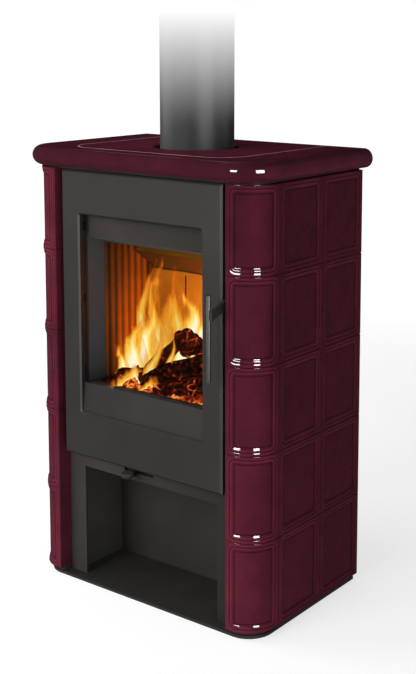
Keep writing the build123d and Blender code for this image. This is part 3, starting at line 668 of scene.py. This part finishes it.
def pressed_tile(width, height):
    """A flat tile lying against the XZ plane, its face towards -Y: framed, sunk and hollow behind."""
    bm = bmesh.new()
    tone = bm.verts.layers.float.new("edge_tone")
    add_block(bm, (0, 0, 0), (width, TILE_DEPTH, height))
    around_face = [edge for edge in bm.edges if min(v.co.y for v in edge.verts) < 1]
    round_off(bm, around_face, TILE_ROUND, 4)
    bm.normal_update()
    face = facing(bm, (0, -1, 0), 0)
    rim = list(face.edges)
    bmesh.ops.delete(bm, geom=[face], context="FACES_ONLY")
    low_x, high_x = STILE_BORDER - LINE_RUN, width - STILE_BORDER + LINE_RUN
    low_z, high_z = RAIL_BORDER - LINE_RUN, height - RAIL_BORDER + LINE_RUN
    corners = [(low_x, 0, low_z), (high_x, 0, low_z), (high_x, 0, high_z), (low_x, 0, high_z)]
    points = [bm.verts.new(corner) for corner in corners]
    bm.faces.new(points)
    round_off(bm, points, RING_RADIUS, 7, "VERTICES")
    ring = [edge for edge in bm.edges if not edge.is_manifold and edge not in rim]
    bmesh.ops.triangle_fill(bm, edges=rim + ring, use_beauty=True, normal=(0, -1, 0))
    bmesh.ops.recalc_face_normals(bm, faces=bm.faces[:])
    bm.normal_update()
    panel = facing(bm, (0, -1, 0), 0)
    # Each ring's edge tone: glaze breaking pale over convex edges and pooling dark in hollows, which
    # also paints the relief's highlights and shade.
    section = [(LINE_RUN, 0, 1)] + soft_fall(STEP_RUN, STEP_DROP, 6) + [(BAND_RUN, 0, 1)]
    section += soft_fall(SLOPE_RUN, SLOPE_DROP, 8) + [(LINE_RUN, 0, POOL_TONE), (LINE_RUN, 0, 0)]
    for run, fall, edge_tone in section:
        inset(bm, panel, run, -fall)
        for vertex in panel.verts:
            vertex[tone] = edge_tone
    back = facing(bm, (0, 1, 0), TILE_DEPTH)
    inset(bm, back, TILE_RIM, 0)
    inset(bm, back, HOLLOW_TAPER, TILE_PLATE - TILE_DEPTH)
    return bm


def bend_round(bm):
    """Carries a flat tile round the right-hand front corner of the stove."""
    low, high = place("tile_right_1_corner")
    side_x = high.x
    front_y = low.y
    bend = CORNER_RADIUS * math.pi / 2
    cuts = int(bend / BEND_CUT)
    for cut in range(cuts + 1):
        cut_through(bm, (CORNER_FLAT + bend * cut / cuts, 0, 0), (1, 0, 0))
    for vertex in bm.verts:
        run, depth, height = vertex.co
        angle = min(max(run - CORNER_FLAT, 0) / CORNER_RADIUS, math.pi / 2)
        radius = CORNER_RADIUS - depth
        x = side_x - CORNER_RADIUS + radius * math.sin(angle)
        y = front_y + CORNER_RADIUS - radius * math.cos(angle)
        x += min(run - CORNER_FLAT, 0)
        y += max(run - CORNER_FLAT - bend, 0)
        vertex.co = (x, y, height)


def glazed_tile(node, finishes):
    """The glazed tile that stands for one tile of the stove's frame."""
    low, high = place(node)
    height = high.z - low.z
    if node.endswith("corner"):
        bm = pressed_tile(2 * CORNER_FLAT + CORNER_RADIUS * math.pi / 2, height)
        bend_round(bm)
        bmesh.ops.translate(bm, vec=(0, 0, low.z), verts=bm.verts[:])
    else:
        bm = pressed_tile(high.y - low.y, height)
        turn = Matrix.Rotation(math.pi / 2, 3, "Z")
        bmesh.ops.rotate(bm, cent=(0, 0, 0), matrix=turn, verts=bm.verts[:])
        side_x = max(abs(low.x), abs(high.x))
        bmesh.ops.translate(bm, vec=(side_x, low.y, low.z), verts=bm.verts[:])
    if "left" in node:
        bmesh.ops.scale(bm, vec=(-1, 1, 1), verts=bm.verts[:])
    bmesh.ops.recalc_face_normals(bm, faces=bm.faces[:])
    finish_piece("glazed_" + node, bm, finishes["tile_glaze"], "stove", (node,))


# ---- Slab --------------------------------------------------------------------------------------
SLAB_CORNER = 81.0
SLAB_HOLE = 87.0
SLAB_LIP = 5.0
SLAB_CORE = 0.05
SLAB_SPARE = 60.0
NOSE_STEPS = 10
# The lip round the flue's hole is paler: a painted highlight.
LIP_TONE = 1.5
LINE_HALF = 207.0
LINE_FRONT = -150.5
LINE_RADIUS = 62.0
LINE_WIDTH = 2.4
LINE_SINK = 0.2
LINE_HEIGHT = 0.45


def loop_at(edges, shift, factor, bm, center):
    """Carries a ring of edges on: the new ring, moved down and scaled about the hole's axis."""
    made = bmesh.ops.extrude_edge_only(bm, edges=edges)["geom"]
    points = [item for item in made if isinstance(item, bmesh.types.BMVert)]
    lines = [item for item in made if isinstance(item, bmesh.types.BMEdge)]
    ring = [line for line in lines if all(end in points for end in line.verts)]
    about = Matrix.Translation(-Vector(center))
    bmesh.ops.scale(bm, vec=(factor, factor, 1), space=about, verts=points)
    bmesh.ops.translate(bm, vec=(0, 0, -shift), verts=points)
    return ring


def front_uprights(bm, least):
    """The upright edges at the front that are longer than a length."""
    return [
        edge
        for edge in bm.edges
        if all(vertex.co.y < 0 for vertex in edge.verts)
        and abs((edge.verts[0].co - edge.verts[1].co).z) > least
    ]


def glazed_slab(finishes):
    """The slab: half-round nose on three sides and a rounded lip round the flue's hole."""
    low, high = place("top_slab")
    flue_low, flue_high = place("flue_pipe")
    axis = (flue_low + flue_high) / 2
    nose = (high.z - low.z) / 2 - SLAB_CORE
    middle = (high.z + low.z) / 2
    bm = bmesh.new()
    front = (low.x, low.y, middle - SLAB_CORE)
    add_block(bm, front, (high.x, high.y + SLAB_SPARE, middle + SLAB_CORE))
    round_off(bm, front_uprights(bm, SLAB_CORE), SLAB_CORNER, 30)
    bm.normal_update()
    for direction in (1, -1):
        face = facing(bm, (0, 0, direction), direction * middle + SLAB_CORE)
        for step in range(NOSE_STEPS):
            start = math.pi / 2 * step / NOSE_STEPS
            end = math.pi / 2 * (step + 1) / NOSE_STEPS
            run = nose * (math.cos(start) - math.cos(end))
            inset(bm, face, run, nose * (math.sin(end) - math.sin(start)))
    cut_through(bm, (0, high.y, 0), (0, 1, 0), clear_outer=True)
    bmesh.ops.edgeloop_fill(bm, edges=[edge for edge in bm.edges if edge.is_boundary])
    bm.normal_update()
    rims = []
    for direction, level in ((1, high.z), (-1, low.z)):
        face = facing(bm, (0, 0, direction), direction * level)
        rims.append(list(face.edges))
        bmesh.ops.delete(bm, geom=[face], context="FACES_ONLY")
    center = (axis.x, axis.y, high.z)
    radius = SLAB_HOLE + SLAB_LIP
    circle = bmesh.ops.create_circle(
        bm, segments=112, radius=radius, matrix=Matrix.Translation(center), cap_ends=False
    )["verts"]
    ring = [edge for edge in bm.edges if edge.verts[0] in circle]
    bmesh.ops.triangle_fill(bm, edges=rims[0] + ring, use_beauty=True, normal=(0, 0, 1))
    lip = arc((radius, -SLAB_LIP), SLAB_LIP, 90, 180, 7)
    for (start, top), (end, bottom) in zip(lip, lip[1:]):
        ring = loop_at(ring, top - bottom, end / start, bm, center)
    ring = loop_at(ring, high.z - SLAB_LIP - low.z, 1.0, bm, center)
    bmesh.ops.triangle_fill(bm, edges=rims[1] + ring, use_beauty=True, normal=(0, 0, -1))
    bmesh.ops.recalc_face_normals(bm, faces=bm.faces[:])
    tone = bm.verts.layers.float.new("edge_tone")
    # Painted highlight on the lip round the flue's hole.
    for vertex in bm.verts:
        if vertex.co.z > high.z - 2 and (vertex.co.xy - axis.xy).length < radius + 1:
            vertex[tone] = LIP_TONE
    finish_piece("glazed_slab", bm, finishes["slab_glaze"], "stove", ("top_slab",))


def slab_line(finishes):
    """The thin pale line that runs round the slab's top; its pale glaze is a painted highlight."""
    high = place("top_slab")[1]
    bottom = high.z - LINE_SINK
    top = bottom + LINE_HEIGHT
    bm = bmesh.new()
    add_block(bm, (-LINE_HALF, LINE_FRONT, bottom), (LINE_HALF, high.y + SLAB_SPARE, top))
    round_off(bm, front_uprights(bm, LINE_HEIGHT / 2), LINE_RADIUS, 24)
    bm.normal_update()
    for direction, level in ((1, top), (-1, -bottom)):
        face = facing(bm, (0, 0, direction), level)
        inset(bm, face, LINE_WIDTH, 0)
        bmesh.ops.delete(bm, geom=[face], context="FACES_ONLY")
    bmesh.ops.bridge_loops(bm, edges=[edge for edge in bm.edges if edge.is_boundary])
    cut_through(bm, (0, high.y - 1, 0), (0, 1, 0), clear_outer=True)
    bmesh.ops.holes_fill(bm, edges=[edge for edge in bm.edges if edge.is_boundary], sides=8)
    bmesh.ops.recalc_face_normals(bm, faces=bm.faces[:])
    finish_piece("slab_line", bm, finishes["line_glaze"], "stove")


# ---- Flue, handle and knob ---------------------------------------------------------------------
PIPE_WALL = 2.0
PIPE_ROWS = 12
BAR_EASE = 1.6
KNOB_EASE = 1.4
KNOB_DISH = 0.4
RIVET_RADIUS = 3.2
RIVET_DOME = 3.4
RIVET_SINK = 2.0
RIVET_ASIDE = 3
RIVET_BEHIND = 22


def upright_axis(low, high):
    """Where the upright line midway between two corners meets the floor."""
    return ((low.x + high.x) / 2, (low.y + high.y) / 2, 0)


def rod_profile(low, high, ease, steps, dish=0.0):
    """Half the section of an upright round bar, with rounded rims and a dished top."""
    radius = (high.x - low.x) / 2
    foot = [(0, low.z)] + arc((radius - ease, low.z + ease), ease, -90, 0, steps)
    top = arc((radius - ease, high.z - ease), ease, 0, 90, steps) + [(0, high.z - dish)]
    return foot + top


def flue(finishes):
    """The pipe, with a rounded rim."""
    low, high = place("flue_pipe")
    outer = (high.x - low.x) / 2
    inner = outer - PIPE_WALL
    ease = PIPE_WALL / 2
    rise = high.z - ease - low.z
    rows = [low.z + rise * step / PIPE_ROWS for step in range(PIPE_ROWS + 1)]
    rim = arc((outer - ease, high.z - ease), ease, 0, 180, 6)
    profile = [(outer, z) for z in rows] + rim[1:] + [(inner, z) for z in reversed(rows[:-1])]
    bm = turned(profile + [(outer, low.z)], upright_axis(low, high), 128)
    return finish_piece("flue", bm, finishes["flue_enamel"], "stove", ("flue_pipe",))


def handle(finishes):
    """The polished upright bar, with softly rounded ends."""
    low, high = place("handle_bar")
    bm = turned(rod_profile(low, high, BAR_EASE, 5), upright_axis(low, high), 48)
    return finish_piece(
        "handle_grip", bm, finishes["polished_bar"], "latch_handle", ("handle_bar",)
    )


def knob(finishes):
    """The flat round knob of the air lever, and the rivet behind it."""
    low, high = place("air_knob")
    axis = upright_axis(low, high)
    bm = turned(rod_profile(low, high, KNOB_EASE, 4, KNOB_DISH), axis, 64)
    finish_piece("lever_knob", bm, finishes["knob_steel"], "air_control", ("air_knob",))
    rivet_at = (axis[0] + RIVET_ASIDE, axis[1] + RIVET_BEHIND, low.z)
    dome = [(RIVET_RADIUS, 0)] + arc((0, -RIVET_SINK), RIVET_DOME, 30, 90, 5)
    bm = turned(dome + [(0, 0)], rivet_at, 24)
    finish_piece("lever_rivet", bm, finishes["plain_steel"], "air_control")


# ---- Fire lining -------------------------------------------------------------------------------
FLUTES = 7
FLUTE_PITCH = 20.0
FLUTE_RADIUS = 7.5
FLUTE_DEPTH = 5.0
FLUTE_STEPS = 12


def fluted_lining(node, finishes):
    """An upright fire brick with round flutes towards the fire."""
    low, high = place(node)
    right = low.x > 0
    face = abs(low.x) if right else abs(high.x)
    back = abs(high.x) if right else abs(low.x)
    reach = math.acos(1 - FLUTE_DEPTH / FLUTE_RADIUS)
    outline = [(back, low.y), (face, low.y)]
    middle = (low.y + high.y) / 2
    for number in range(FLUTES):
        y = middle + (number - (FLUTES - 1) / 2) * FLUTE_PITCH
        for step in range(FLUTE_STEPS + 1):
            angle = reach * (2 * step / FLUTE_STEPS - 1)
            x = face + FLUTE_RADIUS * math.cos(angle) - (FLUTE_RADIUS - FLUTE_DEPTH)
            outline.append((x, y + FLUTE_RADIUS * math.sin(angle)))
    outline += [(face, high.y), (back, high.y)]
    sign = 1 if right else -1
    bm = bmesh.new()
    section = bm.faces.new([bm.verts.new((sign * x, y, low.z)) for x, y in outline])
    top = bmesh.ops.extrude_face_region(bm, geom=[section])["geom"]
    raised = [item for item in top if isinstance(item, bmesh.types.BMVert)]
    bmesh.ops.translate(bm, vec=(0, 0, high.z - low.z), verts=raised)
    bmesh.ops.recalc_face_normals(bm, faces=bm.faces[:])
    finish_piece("fluted_" + node, bm, finishes["fire_lining"], "stove", (node,))


# ---- Fire --------------------------------------------------------------------------------------
LOGS = (
    # name, start, end, radius, seed
    ("front", (-48, -96, 430), (92, -40, 480), 25, 1),
    ("low", (4, -106, 412), (112, -92, 450), 22, 6),
    ("upright", (-24, 36, 476), (11, -36, 512), 26, 2),
    ("middle", (-92, -30, 428), (-22, -2, 506), 15, 5),
    ("small", (-122, -86, 430), (-66, -80, 443), 12, 3),
    ("back", (-96, 24, 436), (60, 30, 446), 18, 4),
)
LOG_TAPER = 0.92
LOG_RING = 5
LOG_LUMP = 26
LOG_GRAIN = 7
LOG_GRAIN_LENGTH = 22
LOG_END_RELIEF = 5.0
BED_HALF = 150
BED_FRONT = -128
BED_BACK = 50
BED_RIM = 12
BED_FLOOR = 420
BED_GRAIN = 15
COALS = 90
COALS_ACROSS = (-130, 145)
COALS_DEEP = (-118, 45)
COAL_LEVEL = 427
COAL_SIZE = (5, 11)
COAL_LENGTH = (0.8, 1.8)
COAL_THICKNESS = (0.4, 0.7)


def log(name, start, end, radius, seed, finishes):
    """A burning log between two points: an uneven trunk with rough ends."""
    start, end = Vector(start), Vector(end)
    along = end - start
    bm = bmesh.new()
    tip = radius * LOG_TAPER
    bmesh.ops.create_cone(
        bm, cap_ends=True, segments=28, radius1=radius, radius2=tip, depth=along.length
    )
    caps = [f for f in bm.faces if len(f.verts) > 4]
    for cap in caps:
        for run in (radius * 0.25, radius * 0.3):
            inset(bm, cap, run, 0)
    sides = [e for e in bm.edges if abs((e.verts[0].co - e.verts[1].co).z) > along.length / 2]
    rings = int(along.length / LOG_RING)
    bmesh.ops.subdivide_edges(bm, edges=sides, cuts=rings, use_grid_fill=True)
    drift = Vector((seed * 7.3, seed * 3.1, seed * 5.7))
    for vertex in bm.verts:
        x, y, z = vertex.co
        spot = vertex.co / LOG_LUMP + drift
        coarse = noise.noise(spot)
        fine = noise.noise(Vector((x / LOG_GRAIN, y / LOG_GRAIN, z / LOG_GRAIN_LENGTH)) + drift)
        vertex.co += Vector((x, y, 0)) * (0.30 * coarse + 0.16 * fine)
        vertex.co.z += LOG_END_RELIEF * noise.noise(spot * 1.7 + drift)
    turn = along.to_track_quat("Z", "Y").to_matrix()
    bmesh.ops.rotate(bm, cent=(0, 0, 0), matrix=turn, verts=bm.verts[:])
    bmesh.ops.translate(bm, vec=(start + end) / 2, verts=bm.verts[:])
    finish_piece(name, bm, finishes["charred_wood"], "stove", even=False)


def embers(finishes):
    """The bed of coals: a rough heap over the hearth and the throat's floor, and lumps on it."""
    draw = random.Random(4)
    noise.seed_set(4)  # vector noise takes its offsets from the clock without it
    bm = bmesh.new()
    bmesh.ops.create_grid(bm, x_segments=130, y_segments=76, size=0.5)
    for vertex in bm.verts:
        x = vertex.co.x * BED_HALF * 2
        y = vertex.co.y * (BED_BACK - BED_FRONT) + (BED_BACK + BED_FRONT) / 2
        edge = min(BED_HALF - abs(x), BED_BACK - y, y - BED_FRONT, BED_RIM) / BED_RIM
        spot = Vector((x / BED_GRAIN, y / BED_GRAIN, 0))
        rough = abs(noise.noise(spot)) * 9 + noise.noise(spot * 2.7) * 5
        heap = 8 * math.exp(-(((x - 30) / 90) ** 2 + ((y + 40) / 70) ** 2))
        vertex.co = (x, y, BED_FLOOR + edge * (5 + rough + heap))
    for coal in range(COALS):
        x = draw.uniform(*COALS_ACROSS)
        y = draw.uniform(*COALS_DEEP)
        size = draw.uniform(*COAL_SIZE)
        turn = Euler([draw.uniform(0, 6.28) for axis in range(3)]).to_matrix().to_4x4()
        flat = Matrix.Diagonal((draw.uniform(*COAL_LENGTH), 1, draw.uniform(*COAL_THICKNESS), 1))
        at = Matrix.Translation((x, y, COAL_LEVEL))
        lump = bmesh.ops.create_icosphere(bm, subdivisions=3, radius=size, matrix=at @ turn @ flat)
        for vertex in lump["verts"]:
            vertex.co += 0.7 * size * noise.noise_vector(vertex.co / 8)
    for vertex in bm.verts:
        vertex.co += 1.5 * noise.noise_vector(vertex.co / 3.5)
    finish_piece("fire_embers", bm, finishes["ember"], "stove", even=False)


def flame_sheet(name, foot, tip, width, bow, material):
    """A standing sheet of flame with its own map, from its foot to its tip, bowed and swaying."""
    bm = bmesh.new()
    bmesh.ops.create_grid(bm, x_segments=14, y_segments=26, size=0.5, calc_uvs=True)
    layer = bm.loops.layers.uv.verify()
    for face in bm.faces:
        for loop in face.loops:
            loop[layer].uv = (loop.vert.co.x + 0.5, loop.vert.co.y + 0.5)
    side = Vector((math.cos(CAMERA_YAW), math.sin(CAMERA_YAW), 0))
    behind = Vector((-math.sin(CAMERA_YAW), math.cos(CAMERA_YAW), 0))
    foot, tip = Vector(foot), Vector(tip)
    for vertex in bm.verts:
        across, up = vertex.co.x, vertex.co.y + 0.5
        sway = 0.05 * (tip - foot).length * math.sin(up * 6 + foot.x)
        depth = bow * (math.cos(across * math.pi) - 0.5) + 4 * math.sin(up * 7 + across * 4)
        vertex.co = foot.lerp(tip, up) + side * (across * width + sway) + behind * depth
    sheet = finish_piece(name, bm, material, "stove", even=False)
    sheet.visible_diffuse = False
    sheet.visible_glossy = False
    sheet.visible_shadow = False


FLAMES = (
    # name, foot, tip, width, bow, kind
    ("haze", (-10, 40, 430), (-20, 36, 650), 110, 16, "haze"),
    ("right", (-24, 10, 430), (-48, 8, 630), 92, 12, "soft"),
    ("right_hot", (-2, 6, 440), (-24, 4, 618), 88, 10, "white"),
    ("edge", (22, 20, 440), (20, 18, 620), 72, 8, "white"),
    ("middle", (-66, 2, 430), (-60, 6, 655), 72, 10, "veil"),
    ("main", (-100, -20, 405), (-66, -16, 680), 96, 12, "soft"),
    ("main_hot", (-104, -26, 405), (-84, -24, 610), 84, 8, "hot"),
    ("thin", (-130, -8, 450), (-112, -4, 665), 38, 6, "soft"),
    ("left", (-124, -54, 405), (-96, -50, 566), 66, 8, "hot"),
    ("left_low", (-138, -74, 408), (-124, -70, 505), 38, 6, "hot"),
    ("strand", (-28, -100, 424), (-6, -92, 550), 34, 6, "soft"),
    ("strand_right", (4, -84, 446), (16, -78, 535), 18, 6, "soft"),
    ("bed", (-60, -112, 408), (-50, -110, 474), 118, 6, "hot"),
    ("bed_right", (-16, -120, 408), (-4, -118, 456), 70, 6, "hot"),
)


def fire(finishes):
    """Six logs, the embers and the flames, from the hearth's floor up."""
    for name, start, end, radius, seed in LOGS:
        log("fire_log_" + name, start, end, radius, seed, finishes)
    embers(finishes)
    kinds = {
        "haze": flame("flame_haze", 0.5, 0.9, ragged=0.3, cover=0.4),
        "veil": flame("flame_veil", 0.62, 1.0, ragged=0.45, cover=0.8),
        "soft": flame("flame_soft", 0.8, 1.0),
        "hot": flame("flame_hot", 1.15, 1.15),
        "white": flame("flame_white", 1.5, 1.2, ragged=0.6),
    }
    for name, foot, tip, width, bow, kind in FLAMES:
        flame_sheet("fire_flame_" + name, foot, tip, width, bow, kinds[kind])


# ---- Light and floor ---------------------------------------------------------------------------
FIRELIGHT_RADIUS = 20
FLOOR_HALF = 14.0


def soft_box(
    name, azimuth, elevation, distance, size, strength, aim=(0, 0, 600), sheen_only=False, glossy=True
):
    """A lamp with a white front, that far from the point it aims at.

    Azimuth is from the stove's front, towards its right, in degrees.
    """
    az, el = math.radians(azimuth), math.radians(elevation)
    way = Vector((math.sin(az) * math.cos(el), -math.cos(az) * math.cos(el), math.sin(el)))
    data = bpy.data.lights.new(name, "AREA")
    data.shape = "RECTANGLE"
    data.size, data.size_y = size
    data.energy = strength * size[0] * size[1] * math.pi
    lamp = bpy.data.objects.new(name, data)
    at = Vector(aim) * MM + way * distance
    lamp.matrix_world = Matrix.Translation(at) @ way.to_track_quat("Z", "Y").to_matrix().to_4x4()
    lamp.visible_camera = False
    lamp.visible_diffuse = not sheen_only
    lamp.visible_glossy = glossy
    bpy.context.scene.collection.objects.link(lamp)
    return lamp


def firelight(name, at, watts):
    """Firelight inside the chamber, thrown backwards and to the sides, never out of the door."""
    data = bpy.data.lights.new(name, "SPOT")
    data.color = shade("ffb038")
    data.energy = watts
    data.spot_size = math.pi
    data.spot_blend = 0.25
    data.shadow_soft_size = FIRELIGHT_RADIUS * MM
    data.specular_factor = 0.1
    lamp = bpy.data.objects.new(name, data)
    backwards = Vector((0, -1, 0)).to_track_quat("Z", "Y").to_matrix().to_4x4()
    lamp.matrix_world = Matrix.Translation(Vector(at) * MM) @ backwards
    lamp.visible_camera = False
    bpy.context.scene.collection.objects.link(lamp)


def add_world():
    """Pale studio air: white to the camera, a dim room in the glaze's reflections."""
    world = bpy.data.worlds.new("studio")
    world.use_nodes = True
    bpy.context.scene.world = world
    tree = world.node_tree
    light = tree.nodes["Background"]
    output = tree.nodes["World Output"]
    rays = tree.nodes.new("ShaderNodeLightPath")
    seen = tree.nodes.new("ShaderNodeBackground")
    seen.inputs["Color"].default_value = (1, 1, 1, 1)
    dim = tree.nodes.new("ShaderNodeBackground")
    dim.inputs["Color"].default_value = (0.03, 0.028, 0.028, 1)
    light.inputs["Color"].default_value = (0.20, 0.20, 0.20, 1)
    sheen = tree.nodes.new("ShaderNodeMixShader")
    tree.links.new(rays.outputs["Is Glossy Ray"], sheen.inputs[0])
    tree.links.new(light.outputs[0], sheen.inputs[1])
    tree.links.new(dim.outputs[0], sheen.inputs[2])
    whole = tree.nodes.new("ShaderNodeMixShader")
    tree.links.new(rays.outputs["Is Camera Ray"], whole.inputs[0])
    tree.links.new(sheen.outputs[0], whole.inputs[1])
    tree.links.new(seen.outputs[0], whole.inputs[2])
    tree.links.new(whole.outputs[0], output.inputs["Surface"])


def add_floor():
    """A pale floor that goes over into white away from the stove."""
    finish = Finish("floor", Roughness=0.9, Specular_IOR_Level=0.0, Emission_Strength=0.98)
    tone = finish.cloud(400, detail=2.0)
    finish.set("Base Color", tone.ramp((0.3, (0.39, 0.39, 0.39)), (0.7, (0.41, 0.41, 0.41))))
    away = finish.spot().length().rise(1.2, 4.0)
    finish.set("Emission Color", away.ramp((0.0, (0.70, 0.70, 0.70)), (1.0, (1, 1, 1))))
    bm = bmesh.new()
    bmesh.ops.create_grid(bm, x_segments=2, y_segments=2, size=FLOOR_HALF)
    mesh = bpy.data.meshes.new("floor")
    bm.to_mesh(mesh)
    bm.free()
    floor = bpy.data.objects.new("floor", mesh)
    mesh.materials.append(finish.material)
    floor.visible_glossy = False
    bpy.context.scene.collection.objects.link(floor)


def link_light(lamps, pieces, state):
    """Lets some lamps light some pieces alone, or all but those pieces."""
    linked = bpy.data.collections.new("light_" + state.lower())
    for piece in pieces:
        linked.objects.link(piece)
    for member in linked.collection_objects:
        member.light_linking.link_state = state
    for lamp in lamps:
        lamp.light_linking.receiver_collection = linked


def add_lights():
    """All lamps. Those that draw sheens come back in three lists: glaze, pipe and bar."""
    sheens = [
        soft_box("sheen_left", -4, 18, 4.2, (1.25, 1.0), 30, sheen_only=True),
        soft_box("sheen_right", 63, 18, 4.2, (1.45, 1.6), 30, sheen_only=True),
    ]
    soft_box("sheen_crease", -138, 38, 4.2, (2.2, 0.7), 1.3, sheen_only=True)
    pipe_sheens = [
        soft_box("sheen_pipe", azimuth, -1.6, 4.2, (width, 1.6), strength, (0, 0, 1000), sheen_only=True)
        for azimuth, strength in ((66, 2.6), (-67, 0.8), (125, 0.6))
        for width in (1.4, 3.6)
    ]
    bar_sheens = [
        soft_box("sheen_bar", azimuth, 0, 3.0, (width, 1.6), strength, sheen_only=True)
        for azimuth, width, strength in ((98, 0.7, 5.6), (62, 1.2, 2.2), (14, 2.0, 1.3))
    ]
    soft_box("key", -10, 22, 5.0, (3.2, 2.4), 7.2, glossy=False)
    soft_box("left_fill", -64, 22, 3.4, (1.8, 1.4), 8.5, glossy=False)
    soft_box("top_fill", 20, 84, 3.2, (2.6, 2.6), 0.8, glossy=False)
    firelight("fire_glow_left", (-20, -70, 460), 2.1)
    firelight("fire_glow_high", (60, -50, 540), 1.0)
    firelight("fire_glow_back", (90, 0, 530), 1.5)
    firelight("fire_glow_front", (0, -90, 600), 0.3)
    return sheens, pipe_sheens, bar_sheens


# ---- Everything together -----------------------------------------------------------------------
def dress_frame(finishes):
    """Gives every carried-over part of the stove its finish."""
    for part in frame["record"]["subparts"]:
        mesh = frame["nodes"][part["node"]].data
        mesh.materials.clear()
        mesh.materials.append(finishes[part["material_slot"]])


def main():
    """The photograph's camera and light, and every piece of the stove."""
    bpy.context.scene.view_settings.view_transform = "Standard"
    add_camera()
    add_world()
    sheens, pipe_sheens, bar_sheens = add_lights()
    add_floor()
    finishes = make_finishes()
    dress_frame(finishes)
    for node in sorted(frame["nodes"]):
        if node.startswith("tile_") and node != "tile_carriers":
            glazed_tile(node, finishes)
    glazed_slab(finishes)
    slab_line(finishes)
    pipe = flue(finishes)
    bar = handle(finishes)
    link_light(sheens, (pipe, bar), "EXCLUDE")
    link_light(pipe_sheens, (pipe,), "INCLUDE")
    link_light(bar_sheens, (bar,), "INCLUDE")
    knob(finishes)
    for node in ("lining_left", "lining_right"):
        fluted_lining(node, finishes)
    fire(finishes)


main()
